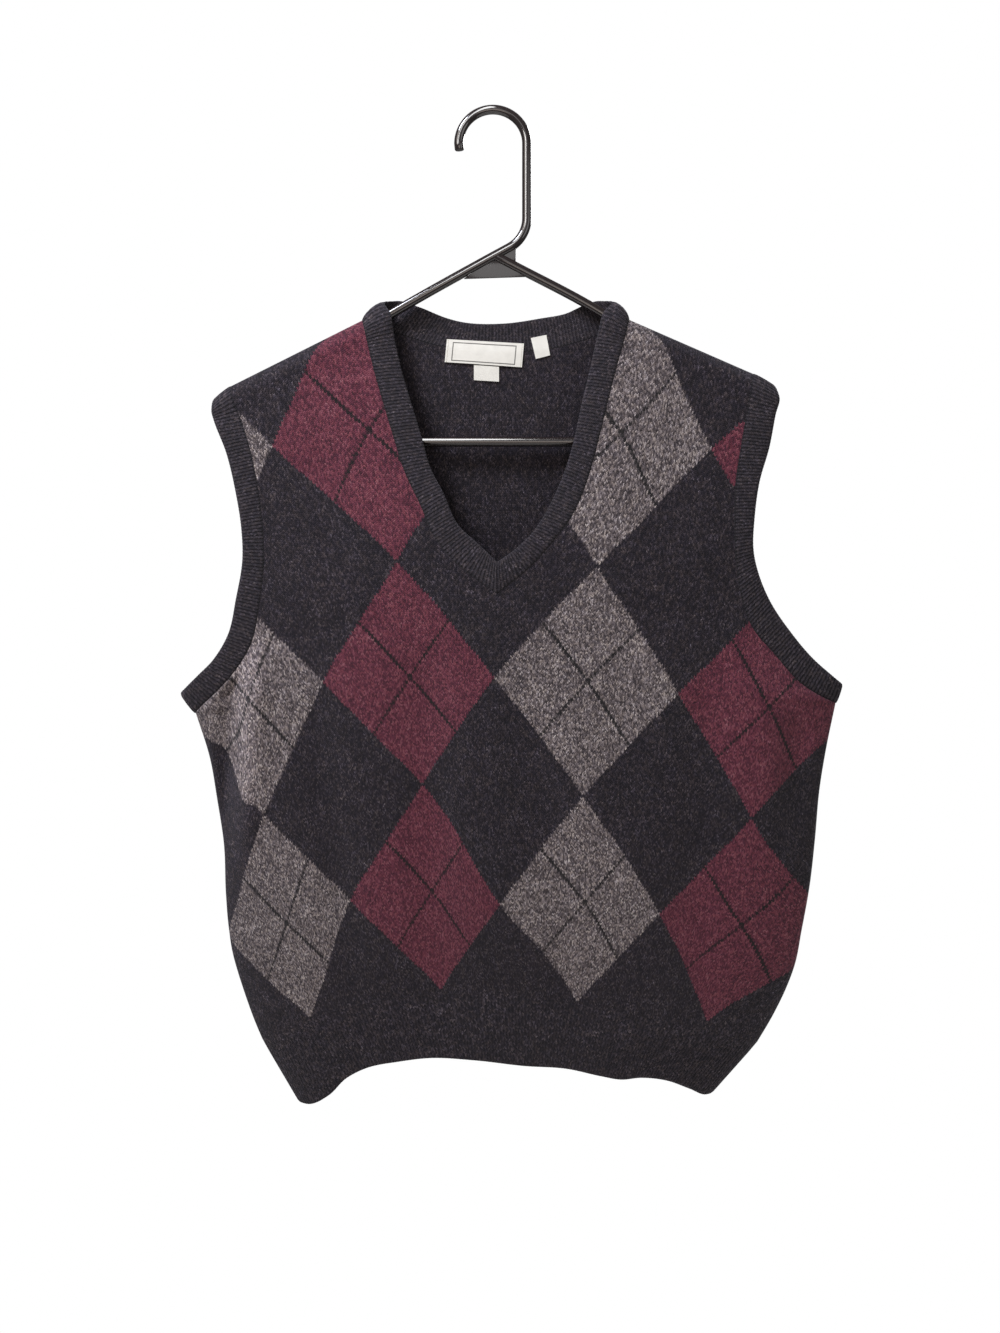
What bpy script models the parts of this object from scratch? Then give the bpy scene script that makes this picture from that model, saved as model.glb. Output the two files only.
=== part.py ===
"""A knitted V-neck sweater vest on a moulded tubular hanger.

Every size is in millimetres until a point is written to a mesh. +Z is up, the front faces -Y and +X is to the
viewer's right. The origin is the inside top of the hanger's hook, where it rests on whatever holds it.

The cloth is one wall, CLOTH thick. Each knitted piece is a grid of points on the outside of that wall. The
two panels are lofted between their neck and centre line on one side and their armhole and side seam on the
other. The neck and armhole bands are lofted along the same seams, so a band and its panel always meet.
"""

import math

import bmesh
import bpy
import numpy as np
from mathutils import Vector
from mathutils.bvhtree import BVHTree

MM = 0.001
PART = "knitted_sweater_vest"

CLOTH = 2.0  # thickness of the lambswool jersey
SEAM_GAP = 0.45  # a panel's edge stops this far short of the band, measured along its row
SIDE_GAP = 0.2  # front and back each stop this far from the shoulder and side seams
RIB_PITCH = 6.0  # one rib and its furrow
RIB_HEIGHT = 0.9
NECK_ACROSS = (0.0, 0.5, 1.0)  # where a band's section has points, from its seam to its free edge
ARMHOLE_ACROSS = (0.0, 1.0)
HEM_ACROSS = (0.0, 0.45, 1.0)

NECK_BAND = (
    # seam_x, seam_z, edge_x, edge_z, depth, roll: from the V, up the left, round the back, down the right
    (2.7, -385.0, 2.7, -359.5, -29.0, 1.0),
    (-27.0, -363.0, -11.5, -345.5, -27.5, 1.0),
    (-46.5, -340.5, -28.5, -329.0, -25.0, 1.0),
    (-57.0, -316.5, -39.0, -305.5, -22.0, 1.0),
    (-70.5, -288.0, -50.0, -283.5, -18.5, 1.0),
    (-79.5, -260.0, -57.5, -257.0, -15.5, 1.0),
    (-87.5, -233.5, -65.5, -231.0, -13.0, 1.0),
    (-95.0, -207.5, -73.0, -205.5, -10.5, 1.0),
    (-100.5, -185.0, -78.5, -181.0, -8.5, 1.2),
    (-103.5, -171.5, -82.0, -160.0, -7.2, 2.0),
    (-105.0, -165.0, -87.0, -150.0, 0.0, 3.0),
    (-103.0, -169.5, -80.0, -147.5, 7.2, 2.2),
    (-75.5, -175.5, -60.0, -152.5, 8.5, 1.0),
    (-53.0, -182.5, -38.5, -161.0, 9.5, 1.0),
    (-19.0, -188.5, -16.5, -165.5, 10.0, 1.0),
    (9.0, -189.5, 9.0, -165.5, 10.0, 1.0),
    (41.5, -187.5, 37.5, -161.5, 10.0, 1.0),
    (63.0, -183.0, 58.5, -157.5, 9.5, 1.0),
    (79.0, -178.0, 72.0, -151.5, 8.5, 1.0),
    (106.0, -169.5, 87.5, -147.5, 7.2, 2.2),
    (108.5, -164.5, 94.5, -149.5, 0.0, 3.0),
    (107.0, -171.0, 87.5, -159.5, -7.2, 2.0),
    (104.0, -183.5, 82.5, -179.0, -8.5, 1.2),
    (98.0, -204.5, 77.5, -201.5, -10.5, 1.0),
    (91.0, -232.0, 71.0, -228.5, -13.0, 1.0),
    (83.5, -262.5, 64.5, -258.5, -15.5, 1.0),
    (74.5, -294.5, 56.5, -286.5, -18.5, 1.0),
    (62.5, -322.5, 44.0, -315.0, -22.0, 1.0),
    (47.5, -343.0, 31.5, -335.0, -25.0, 1.0),
    (29.5, -363.5, 17.0, -349.5, -27.5, 1.0),
    (3.3, -385.0, 3.3, -359.5, -29.0, 1.0),
)
NECK_LEFT_CREST, NECK_RIGHT_CREST = 10, 20  # the rows that lie on top of the hanger's arms

ARMHOLE_LEFT = (
    # seam_x, seam_z, edge_x, edge_z, depth, roll: from the shoulder, down the front, to the underarm
    (-210.0, -217.5, -225.0, -230.0, 0.0, 0.6),
    (-208.5, -224.5, -225.0, -237.0, -7.2, 0.6),
    (-202.5, -240.0, -221.0, -245.5, -8.5, 0.6),
    (-193.5, -267.5, -212.5, -272.0, -10.0, 0.6),
    (-187.0, -299.0, -205.0, -303.0, -11.0, 0.6),
    (-183.0, -328.5, -200.5, -331.0, -11.5, 0.6),
    (-182.0, -358.5, -199.5, -357.0, -12.0, 0.6),
    (-185.5, -392.0, -204.5, -387.5, -12.0, 0.6),
    (-192.5, -424.5, -211.5, -417.5, -11.5, 0.6),
    (-204.5, -444.5, -223.0, -436.5, -10.5, 0.6),
    (-218.5, -460.5, -235.0, -448.5, -9.0, 0.6),
    (-231.5, -472.5, -245.0, -458.0, -6.0, 0.6),
    (-238.5, -479.0, -250.5, -463.0, 0.0, 0.6),
)
ARMHOLE_RIGHT = (
    (207.5, -207.5, 226.0, -219.5, 0.0, 0.6),
    (205.5, -214.5, 227.5, -228.0, -7.2, 0.6),
    (201.5, -237.0, 223.0, -241.5, -8.5, 0.6),
    (196.5, -265.5, 218.0, -267.5, -10.0, 0.6),
    (192.0, -295.0, 211.5, -295.0, -11.0, 0.6),
    (191.0, -324.5, 207.5, -324.0, -11.5, 0.6),
    (191.5, -351.0, 206.5, -347.5, -12.0, 0.6),
    (195.0, -379.5, 210.5, -367.5, -12.0, 0.6),
    (204.5, -409.5, 221.0, -392.0, -11.5, 0.6),
    (223.0, -432.0, 238.0, -416.5, -10.5, 0.6),
    (244.0, -455.0, 255.5, -436.5, -9.0, 0.6),
    (263.5, -467.0, 271.5, -450.0, -6.0, 0.6),
    (274.0, -471.0, 279.0, -455.5, 0.0, 0.6),
)
ARMHOLE_BESIDE_V = 8  # the armhole row level with the point of the V
BACK_OF_ARMHOLE = 0.8  # depth of the back of the armhole over the depth of its front
HANGER_ROOM = 6.8  # no wall above the underarm comes nearer than this to the hanger's plane
BACK_BAND_TUCK = 2.0  # the back of each armhole band lies this far inside its front

BODY = (
    # left_x, left_z, right_x, right_z, middle_z, front, back: from the underarm to the top of the hem rib
    (-238.0, -479.3, 273.5, -471.5, -460.0, -33.0, 16.0),
    (-227.0, -514.0, 266.0, -507.5, -495.0, -35.0, 18.0),
    (-221.0, -547.5, 260.5, -541.5, -530.0, -36.5, 19.5),
    (-215.5, -584.5, 257.0, -580.5, -566.0, -37.5, 20.5),
    (-214.0, -623.0, 252.5, -619.0, -603.0, -38.0, 21.0),
    (-211.5, -652.0, 246.5, -652.0, -632.0, -37.5, 21.0),
    (-207.5, -675.0, 240.5, -681.5, -655.0, -36.5, 20.0),
    (-191.5, -723.5, 222.0, -723.0, -685.0, -33.0, 17.5),
    (-185.0, -739.0, 211.0, -741.5, -698.0, -31.0, 16.5),
)
CENTRE_X = 3.0
SECTION_POWER = 2.4  # how flat the body is between its sides; 2 is an ellipse
SHOULDER_ROUNDNESS, UNDERARM_ROUNDNESS, RIB_ROUNDNESS = 1.0, 0.6, 0.5  # how early a row turns into its side
RIB_SAG_LEFT, RIB_SAG_RIGHT = 1.6, 0.4  # how late the hem rib's top turns down towards each side
HEM = (
    # x, z of the lower edge, from the left corner to the right one
    (-155.0, -790.0),
    (-147.0, -790.0),
    (-130.5, -781.5),
    (-116.5, -767.5),
    (-102.0, -759.5),
    (-73.5, -753.0),
    (-50.0, -750.0),
    (-16.0, -751.5),
    (24.0, -756.0),
    (58.5, -758.5),
    (84.5, -764.5),
    (100.5, -767.5),
    (117.0, -766.5),
    (137.5, -769.5),
    (156.0, -777.0),
    (169.5, -783.0),
    (174.0, -783.0),
)
HEM_FRONT, HEM_BACK = -26.0, 13.0
HEM_CENTRE_X = 7.0
HEM_ROLL = 2.0
HEM_GAP = 0.3

FOLDS = (
    # top_x, top_z, bottom_x, bottom_z, half_width, depth: soft furrows in the front, under the armholes
    (-214.0, -462.0, -208.0, -600.0, 11.0, 8.0),
    (244.0, -470.0, 236.0, -590.0, 13.0, 4.0),
)
BACK_FOLDS = (
    (-206.0, -465.0, -196.0, -610.0, 13.0, 6.0),
    (236.0, -470.0, 226.0, -600.0, 13.0, 6.0),
)

FRONT_ROWS = (4, 15, 6, 15)  # over the shoulder, down to the V, down to the underarm, down to the rib
BACK_ROWS = (4, 6, 15, 10)
FRONT_COLUMNS, BACK_COLUMNS = 12, 9

TUBE = 3.8  # radius of the hanger's tube
HOOK_RADIUS = 27.2
HOOK_CENTRE = (-0.5, -23.4)
HOOK_TIP_DROP = 6.0
STEM_BEND_TOP, STEM_BEND_RADIUS = -83.0, 27.0
ARM_LEFT = ((-1.0, -114.0), (-51.0, -141.8), (-81.0, -159.0), (-105.0, -173.0), (-190.0, -219.6))
ARM_RIGHT = ((198.0, -215.4), (109.0, -172.8), (82.0, -156.0), (18.0, -122.0), (7.6, -116.6))
BAR_Z = -262.0
KNUCKLE = (4.2, -114.8)
KNUCKLE_RADIUS = 3.72
WEB = 2.6  # thickness of the webs where the arms meet
LOWER_WEB = ((1.0, -113.0), (-22.5, -131.2), (20.5, -129.6))
UPPER_WEB = ((3.0, -113.0), (17.5, -103.5), (17.5, -121.8))

LABEL = 0.8  # thickness of a woven label with its turned edge
LABEL_GAP = 0.3
MAIN_LABEL = ((-37.5, -178.5), (24.5, -182.0), (22.8, -201.2), (-39.3, -197.0))
CARE_TAG = ((-15.8, -199.4), (4.4, -200.7), (4.4, -212.7), (-15.8, -211.5))
SIZE_TAG = ((30.0, -177.5), (42.5, -175.0), (45.5, -191.5), (34.0, -194.5))
LABEL_CELLS = 4

CHARCOAL = (0.028, 0.024, 0.027, 1.0)
RIB_CHARCOAL = (0.024, 0.021, 0.024, 1.0)
BURGUNDY = (0.13, 0.04, 0.055, 1.0)
CREAM = (0.86, 0.85, 0.80, 1.0)
BLACK_GLOSS = (0.012, 0.010, 0.010, 1.0)


def material(name, colour, roughness):
    made = bpy.data.materials.new(name)
    made.use_nodes = True
    shader = made.node_tree.nodes["Principled BSDF"]
    shader.inputs["Base Color"].default_value = colour
    shader.inputs["Roughness"].default_value = roughness
    shader.inputs["Metallic"].default_value = 0.0
    return made


class Track:
    """Rows of numbers joined by one smooth curve, read by the distance along it."""

    def __init__(self, rows, places, closed=False):
        self.rows = np.array(rows, float)
        steps = np.linalg.norm(np.diff(np.array(places, float), axis=0), axis=1)
        self.at = np.concatenate([[0.0], np.cumsum(steps)])
        slopes = np.diff(self.rows, axis=0) / steps[:, None]
        self.slopes = np.vstack([slopes[:1], slopes])
        for i in range(1, len(self.rows) - 1):
            before, after = steps[i - 1], steps[i]
            self.slopes[i] = (slopes[i - 1] * after + slopes[i] * before) / (before + after)
        self.slopes[-1] = slopes[-1]
        if closed:
            self.slopes[0] = self.slopes[-1] = (slopes[0] + slopes[-1]) / 2

    @property
    def length(self):
        return self.at[-1]

    def read(self, distance):
        i = int(np.clip(np.searchsorted(self.at, distance, side="right") - 1, 0, len(self.at) - 2))
        step = self.at[i + 1] - self.at[i]
        t = (distance - self.at[i]) / step
        start, end = self.rows[i], self.rows[i + 1]
        leave, arrive = self.slopes[i] * step, self.slopes[i + 1] * step
        return (
            start * (2 * t**3 - 3 * t**2 + 1)
            + leave * (t**3 - 2 * t**2 + t)
            + end * (3 * t**2 - 2 * t**3)
            + arrive * (t**3 - t**2)
        )


def seam_point(row):
    return np.array((row[0], row[4], row[1]))


def edge_point(row):
    return np.array((row[2], row[4], row[3]))


class Band(Track):
    """A band's rows, read by the distance along the middle of the band."""

    def __init__(self, rows, closed):
        super().__init__(rows, [(seam_point(row) + edge_point(row)) / 2 for row in rows], closed)
        self.closed = closed
        self.turn = -1 if rows[0][0] > 100 else 1

    def seam(self, at):
        return seam_point(self.read(at))

    def along(self, at):
        """The direction of the seam at a distance along the band."""
        before, after = max(0.0, at - 0.5), min(self.length, at + 0.5)
        if self.closed and (at < 0.5 or at > self.length - 0.5):
            before, after = self.length - 0.5, 0.5
        way = self.seam(after) - self.seam(before)
        return way / np.linalg.norm(way)

    def facing(self, at):
        """The direction the band's outside faces at its seam. The panel sewn to it faces that way too."""
        row = self.read(at)
        out = self.turn * np.cross(edge_point(row) - seam_point(row), self.along(at))
        return out / np.linalg.norm(out)

    def hollow(self, at, step, way):
        """How far a straight edge `step` long strays from the curved seam, in the direction `way`."""
        before, after = max(0.0, at - step / 2), min(self.length, at + step / 2)
        chord = (self.seam(before) + self.seam(after)) / 2
        return max(0.0, float(np.dot(self.seam(at) - chord, way)))


def whole_armhole(rows):
    """The front rows of an armhole, and the same ones behind it, back up to the shoulder."""
    inward = -1 if rows[0][0] > 0 else 1
    behind = []
    for seam_x, seam_z, edge_x, edge_z, depth, roll in reversed(rows[:-1]):
        tuck = inward * BACK_BAND_TUCK * min(1.0, -depth / 6.0)
        depth_behind = max(-depth * BACK_OF_ARMHOLE, min(-depth, HANGER_ROOM))
        behind.append((seam_x, seam_z, edge_x + tuck, edge_z, depth_behind, roll))
    return tuple(rows) + tuple(behind)


def smooth_step(t):
    t = min(max(t, 0.0), 1.0)
    return t * t * (3 - 2 * t)


def fold_depth(x, z, folds):
    """How far the soft furrows take the cloth inwards at a point."""
    total = 0.0
    for top_x, top_z, bottom_x, bottom_z, half_width, depth in folds:
        along = (top_z - z) / (top_z - bottom_z)
        middle = top_x + (bottom_x - top_x) * along
        ends = smooth_step(along / 0.25) * smooth_step((1 - along) / 0.5)
        total += depth * ends * math.exp(-(((x - middle) / half_width) ** 2))
    return total


def pulled_in(band, at, step, towards):
    """The band's seam point moved towards the other end of the panel's row, to clear the band by SEAM_GAP."""
    point, along = band.seam(at), band.along(at)
    way = (towards - point) / np.linalg.norm(towards - point)
    square = way - along * np.dot(way, along)
    slant = np.linalg.norm(square)
    return point + way * ((SEAM_GAP + band.hollow(at, step, square / slant)) / slant)


class Row:
    """One row of a panel, from its neck or centre line to its armhole or side seam."""

    def __init__(self, inner, outer, roundness, sag=1.0, inner_facing=None, outer_facing=None):
        self.inner, self.outer = np.array(inner, float), np.array(outer, float)
        self.roundness, self.sag = roundness, sag
        self.inner_facing, self.outer_facing = inner_facing, outer_facing

    def point(self, across):
        """The row starts level at its inner end and turns down into its outer one."""
        bulge = (1 - across**SECTION_POWER) ** self.roundness
        step = self.outer - self.inner
        return np.array(
            (
                self.inner[0] + step[0] * across,
                self.outer[1] - step[1] * bulge,
                self.inner[2] + step[2] * across**self.sag,
            )
        )


def panel_rows(neck, neck_places, armhole, armhole_places, middle_top, side, face, counts):
    """The rows of one half of a panel, from the shoulder to the hem rib.

    neck_places and armhole_places are the distances, along the two bands, of the shoulder's crest, of its
    fold and of the point where the neck reaches the middle, and then of the underarm. face is -1 in front.
    """
    over, upper, middle, lower = counts
    rows = []
    for stage, count in enumerate((over, upper)):
        neck_step = (neck_places[stage + 1] - neck_places[stage]) / count
        hole_step = (armhole_places[stage + 1] - armhole_places[stage]) / count
        for i in range(count):
            at_neck = neck_places[stage] + neck_step * i
            at_hole = armhole_places[stage] + hole_step * i
            inner = pulled_in(neck, at_neck, abs(neck_step), armhole.seam(at_hole))
            outer = pulled_in(armhole, at_hole, abs(hole_step), neck.seam(at_neck))
            facings = neck.facing(at_neck), armhole.facing(at_hole)
            rows.append(Row(inner, outer, SHOULDER_ROUNDNESS, 1.0, *facings))
    rows[0].inner[1] = rows[0].outer[1] = face * SIDE_GAP
    depth_column = 5 if face < 0 else 6
    x_column, z_column = (0, 1) if side < 0 else (2, 3)
    start = np.array((CENTRE_X, middle_top[1], middle_top[0]))
    finish = np.array((CENTRE_X, BODY[0][depth_column], BODY[0][4]))
    hole_step = (armhole_places[3] - armhole_places[2]) / middle
    for i in range(middle):
        t = i / middle
        at_hole = armhole_places[2] + hole_step * i
        inner = start + (finish - start) * t
        outer = pulled_in(armhole, at_hole, abs(hole_step), inner)
        roundness = SHOULDER_ROUNDNESS + (UNDERARM_ROUNDNESS - SHOULDER_ROUNDNESS) * t
        rows.append(Row(inner, outer, roundness, 1.0, None, armhole.facing(at_hole)))
    body = Track(BODY, [(0.0, row[4]) for row in BODY])
    for i in range(lower + 1):
        t = i / lower
        section = body.read(body.length * t)
        inner = (CENTRE_X, section[depth_column], section[4])
        outer = (section[x_column], face * SIDE_GAP, section[z_column])
        sag = 1.0 + (RIB_SAG_LEFT if side < 0 else RIB_SAG_RIGHT) * smooth_step(t)
        at_corner = armhole.facing(armhole_places[3]) if i == 0 else None
        roundness = UNDERARM_ROUNDNESS + (RIB_ROUNDNESS - UNDERARM_ROUNDNESS) * smooth_step(4 * t)
        rows.append(Row(inner, outer, roundness, sag, None, at_corner))
    return rows


def grid_faces(rows, columns, closed=False):
    """Quads of a grid whose points are numbered row by row."""
    faces = []
    for i in range(rows if closed else rows - 1):
        after = (i + 1) % rows
        for j in range(columns - 1):
            faces.append((i * columns + j, i * columns + j + 1, after * columns + j + 1, after * columns + j))
    return faces


def point_normals(points, faces):
    normals = np.zeros_like(points)
    for face in faces:
        corners = points[list(face)]
        normals[list(face)] += np.cross(corners[2] - corners[0], corners[3] - corners[1])
    return normals / np.linalg.norm(normals, axis=1)[:, None]


def wall(name, points, faces, outward, finish, relief=None, facings=(), thickness=CLOTH):
    """One closed wall of cloth: `points` are its outside, with `relief` raised on them over a plain inside.

    outward is a direction that the first point's normal must share. facings gives some points' normals, where
    a wall's edge must be square to the wall it is sewn to. Along the shoulder and side seams the edge is
    square to the seam, so that front and back lie side by side. Returns the normals.
    """
    normals = point_normals(points, faces)
    if np.dot(normals[0], outward) < 0:
        normals = -normals
    for index, facing in dict(facings).items():
        normals[index] = facing
    on_seam = np.abs(points[:, 1]) <= SIDE_GAP + 0.01
    normals[on_seam, 1] = 0.0
    normals /= np.linalg.norm(normals, axis=1)[:, None]
    raised = np.zeros(len(points)) if relief is None else relief
    outside = points + normals * raised[:, None]
    inside = points - normals * thickness
    mesh = bpy.data.meshes.new(name)
    build = bmesh.new()
    outer = [build.verts.new(Vector(p) * MM) for p in outside]
    inner = [build.verts.new(Vector(p) * MM) for p in inside]
    edges = {}
    for face in faces:
        build.faces.new([outer[k] for k in face])
        build.faces.new([inner[k] for k in reversed(face)])
        for a, b in zip(face, face[1:] + face[:1]):
            edges[(a, b)] = edges.get((a, b), 0) + 1
    for a, b in edges:
        if (b, a) not in edges:
            build.faces.new((outer[b], outer[a], inner[a], inner[b]))
    bmesh.ops.recalc_face_normals(build, faces=build.faces)
    build.to_mesh(mesh)
    build.free()
    placed(name, mesh, finish)
    return normals


def placed(name, mesh, finish):
    made = bpy.data.objects.new(name, mesh)
    bpy.data.collections[PART].objects.link(made)
    mesh.materials.clear()
    mesh.materials.append(finish)
    return made


def panel(name, halves, split_rows, columns, folds, finish, outward):
    """Both halves of a panel as one wall.

    Above split_rows the neck parts them, and below it they share the middle. Returns the points and normals of
    the last row, from left to right.
    """
    spread = [math.sin(math.pi / 2 * j / columns) for j in range(columns + 1)]
    points, index, facings = [], {}, {}
    for side, rows in enumerate(halves):
        for i, row in enumerate(rows):
            for j, across in enumerate(spread):
                if j == 0 and side == 1 and i >= split_rows:
                    index[side, i, j] = index[0, i, j]
                    continue
                point = row.point(across)
                if 0 < j < columns:
                    point[1] -= math.copysign(fold_depth(point[0], point[2], folds), outward[1])
                facing = row.inner_facing if j == 0 else row.outer_facing if j == columns else None
                if facing is not None:
                    facings[len(points)] = facing
                index[side, i, j] = len(points)
                points.append(point)
    faces = []
    for side in (0, 1):
        for i in range(len(halves[0]) - 1):
            for j in range(columns):
                corners = ((i, j), (i + 1, j), (i + 1, j + 1), (i, j + 1))
                face = tuple(index[side, row, column] for row, column in corners)
                faces.append(face if side == 0 else face[::-1])
    points = np.array(points)
    normals = wall(name, points, faces, outward, finish, facings=facings)
    last = len(halves[0]) - 1
    along = [index[0, last, j] for j in range(columns, -1, -1)]
    along += [index[1, last, j] for j in range(1, columns + 1)]
    return points[along], normals[along]


def ribbed_band(name, band, sections, outward, finish):
    """A band read along its length, ribbed across, with one rib every RIB_PITCH."""
    count = 2 * round(band.length / RIB_PITCH)
    stations = count if band.closed else count + 1
    points, relief, facings = [], [], {}
    for k in range(stations):
        at = band.length * k / count
        row, out = band.read(at), band.facing(at)
        mitred = not band.closed and k in (0, count)
        if mitred:
            out = out * (0.0, 1.0, 1.0)
        seam, edge = seam_point(row), edge_point(row)
        for across in sections:
            if across == 0.0 or mitred:
                facings[len(points)] = out
            points.append(seam + (edge - seam) * across + out * (row[5] * 4 * across * (1 - across)))
            relief.append(RIB_HEIGHT if k % 2 and not mitred else 0.0)
    faces = grid_faces(stations, len(sections), band.closed)
    wall(name, np.array(points), faces, outward, finish, np.array(relief), facings)


def hem_rib(name, top, depth, outward, finish):
    """The ribbed hem of one panel, from the panel's last row down to the hem's edge."""
    edge, edge_facings = top
    at = np.concatenate([[0.0], np.cumsum(np.linalg.norm(np.diff(edge, axis=0), axis=1))])
    count = 2 * round(at[-1] / RIB_PITCH)
    hem_x, hem_z = np.array(HEM).T
    points, relief, facings = [], [], {}
    for k in range(count + 1):
        here = at[-1] * k / count
        upper = np.array([np.interp(here, at, edge[:, axis]) for axis in range(3)])
        facings[len(points)] = np.array([np.interp(here, at, edge_facings[:, axis]) for axis in range(3)])
        reach = side_reach(upper[0], edge[0][0], edge[-1][0])
        lower_x = HEM_CENTRE_X + reach * (HEM_CENTRE_X - hem_x[0] if reach < 0 else hem_x[-1] - HEM_CENTRE_X)
        flat = (1 - min(1.0, abs(reach)) ** SECTION_POWER) ** 0.5
        lower_y = math.copysign(max(SIDE_GAP, abs(depth) * flat), depth)
        lower = np.array((lower_x, lower_y, np.interp(lower_x, hem_x, hem_z)))
        upper[2] -= HEM_GAP
        roll = HEM_ROLL * (1 - reach**4)
        for across in HEM_ACROSS:
            point = upper + (lower - upper) * across
            point[1] += math.copysign(roll * 4 * across * (1 - across), depth)
            points.append(point)
            relief.append(RIB_HEIGHT if k % 2 and 0 < k < count else 0.0)
    faces = grid_faces(count + 1, len(HEM_ACROSS))
    wall(name, np.array(points), faces, outward, finish, np.array(relief), facings)


def side_reach(x, left, right):
    """-1 at the left side, 0 on the centre line and 1 at the right side."""
    return (x - CENTRE_X) / (CENTRE_X - left) if x < CENTRE_X else (x - CENTRE_X) / (right - CENTRE_X)


def inside_of_back(targets):
    """Reads the y of the cloth's inner face behind a point (x, z) of the neck."""
    trees = [BVHTree.FromObject(target, bpy.context.evaluated_depsgraph_get()) for target in targets]

    def read(x, z):
        hits = []
        for tree in trees:
            for nudge in (-1.0, 1.0):
                hit = tree.ray_cast(Vector((x, 0.0, z + nudge)) * MM, Vector((0, 1, 0)))[0]
                if hit is not None:
                    hits.append(hit.y / MM)
        return min(hits)

    return read


def label(name, corners, behind, finish):
    """A woven label: a small thin wall that follows the cloth behind it."""
    top_left, top_right, bottom_right, bottom_left = (np.array(c) for c in corners)
    points = []
    for i in range(LABEL_CELLS + 1):
        down = i / LABEL_CELLS
        start = top_left + (bottom_left - top_left) * down
        end = top_right + (bottom_right - top_right) * down
        for j in range(LABEL_CELLS + 1):
            x, z = start + (end - start) * j / LABEL_CELLS
            points.append((x, behind(x, z) - LABEL_GAP - LABEL, z))
    faces = grid_faces(LABEL_CELLS + 1, LABEL_CELLS + 1)
    wall(name, np.array(points), faces, (0, -1, 0), finish, thickness=LABEL)


def arc(centre, radius, start, end, count):
    """Points on a circle in the x-z plane, by angle from +X."""
    angles = [start + (end - start) * k / count for k in range(count + 1)]
    return [(centre[0] + radius * math.cos(a), centre[1] + radius * math.sin(a)) for a in angles]


def smooth_line(points, spacing):
    track = Track(points, points)
    count = max(2, round(track.length / spacing))
    return [tuple(track.read(track.length * k / count)) for k in range(count + 1)]


def hanger_route():
    """The tube's middle line: hook, stem, left arm, bar, and the right arm back up to the left one."""
    hook = arc(HOOK_CENTRE, HOOK_RADIUS, math.pi, 0.0, 14)
    tip = (hook[0][0] + 0.6, hook[0][1] - HOOK_TIP_DROP)
    arm = ARM_LEFT
    fall = math.atan2(arm[0][1] - arm[1][1], arm[0][0] - arm[1][0])
    stem_x = hook[-1][0]
    bend = arc((stem_x - STEM_BEND_RADIUS, STEM_BEND_TOP), STEM_BEND_RADIUS, 0.0, fall - math.pi / 2, 6)
    left_arm = smooth_line(arm, 24.0)
    end_fall = math.atan2(arm[-2][1] - arm[-1][1], arm[-2][0] - arm[-1][0])
    left_radius = (arm[-1][1] - BAR_Z) / (1 + math.cos(end_fall))
    left_x = arm[-1][0] + left_radius * math.sin(end_fall)
    left_end = arc((left_x, BAR_Z + left_radius), left_radius, math.pi / 2 + end_fall, 1.5 * math.pi, 8)
    first, second = ARM_RIGHT[0], ARM_RIGHT[1]
    rise = math.atan2(second[1] - first[1], first[0] - second[0])
    right_radius = (first[1] - BAR_Z) / (1 + math.cos(rise))
    right_x = first[0] - right_radius * math.sin(rise)
    right_end = arc((right_x, BAR_Z + right_radius), right_radius, -math.pi / 2, math.pi / 2 - rise, 8)
    right_arm = smooth_line(ARM_RIGHT, 24.0)
    return [tip] + hook + bend + left_arm[1:-1] + left_end + right_end + right_arm[1:]


def tube_mesh(name, route, radius):
    """A round tube along a route in the x-z plane, as a closed mesh."""
    curve = bpy.data.curves.new(name, "CURVE")
    curve.dimensions = "3D"
    curve.bevel_depth = radius * MM
    curve.bevel_resolution = 3
    curve.use_fill_caps = True
    spline = curve.splines.new("POLY")
    spline.points.add(len(route) - 1)
    for point, (x, z) in zip(spline.points, route):
        point.co = (x * MM, 0.0, z * MM, 1.0)
    return meshed(name, curve)


def plate_mesh(name, outline, thickness):
    """A flat plate in the x-z plane."""
    curve = bpy.data.curves.new(name, "CURVE")
    curve.dimensions = "2D"
    curve.fill_mode = "BOTH"
    curve.extrude = thickness / 2 * MM
    spline = curve.splines.new("POLY")
    spline.use_cyclic_u = True
    spline.points.add(len(outline) - 1)
    for point, (x, z) in zip(spline.points, outline):
        point.co = (x * MM, z * MM, 0.0, 1.0)
    return meshed(name, curve, math.pi / 2)


def meshed(name, curve, turn=0.0):
    """The curve as a welded mesh, turned about X, with the curve itself removed."""
    drawn = bpy.data.objects.new(name, curve)
    bpy.context.scene.collection.objects.link(drawn)
    drawn.rotation_euler = (turn, 0.0, 0.0)
    bpy.context.view_layer.update()
    mesh = bpy.data.meshes.new_from_object(drawn.evaluated_get(bpy.context.evaluated_depsgraph_get()))
    mesh.transform(drawn.matrix_world)
    bpy.data.objects.remove(drawn)
    build = bmesh.new()
    build.from_mesh(mesh)
    bmesh.ops.remove_doubles(build, verts=build.verts, dist=0.00002)
    bmesh.ops.recalc_face_normals(build, faces=build.faces)
    build.to_mesh(mesh)
    build.free()
    return mesh


def guide(name, mesh):
    """A solid that another object is joined with, and that isn't a piece of its own."""
    made = bpy.data.objects.new(name, mesh)
    bpy.data.collections["joined_shapes"].objects.link(made)
    made.hide_render = True
    made.display_type = "WIRE"
    return made


def knuckle_mesh():
    """The moulded lump that closes the right arm onto the left one."""
    mesh = bpy.data.meshes.new("knuckle")
    build = bmesh.new()
    bmesh.ops.create_uvsphere(build, u_segments=12, v_segments=8, radius=KNUCKLE_RADIUS * MM)
    bmesh.ops.translate(build, verts=build.verts, vec=Vector((KNUCKLE[0], 0.0, KNUCKLE[1])) * MM)
    build.to_mesh(mesh)
    build.free()
    return mesh


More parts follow.
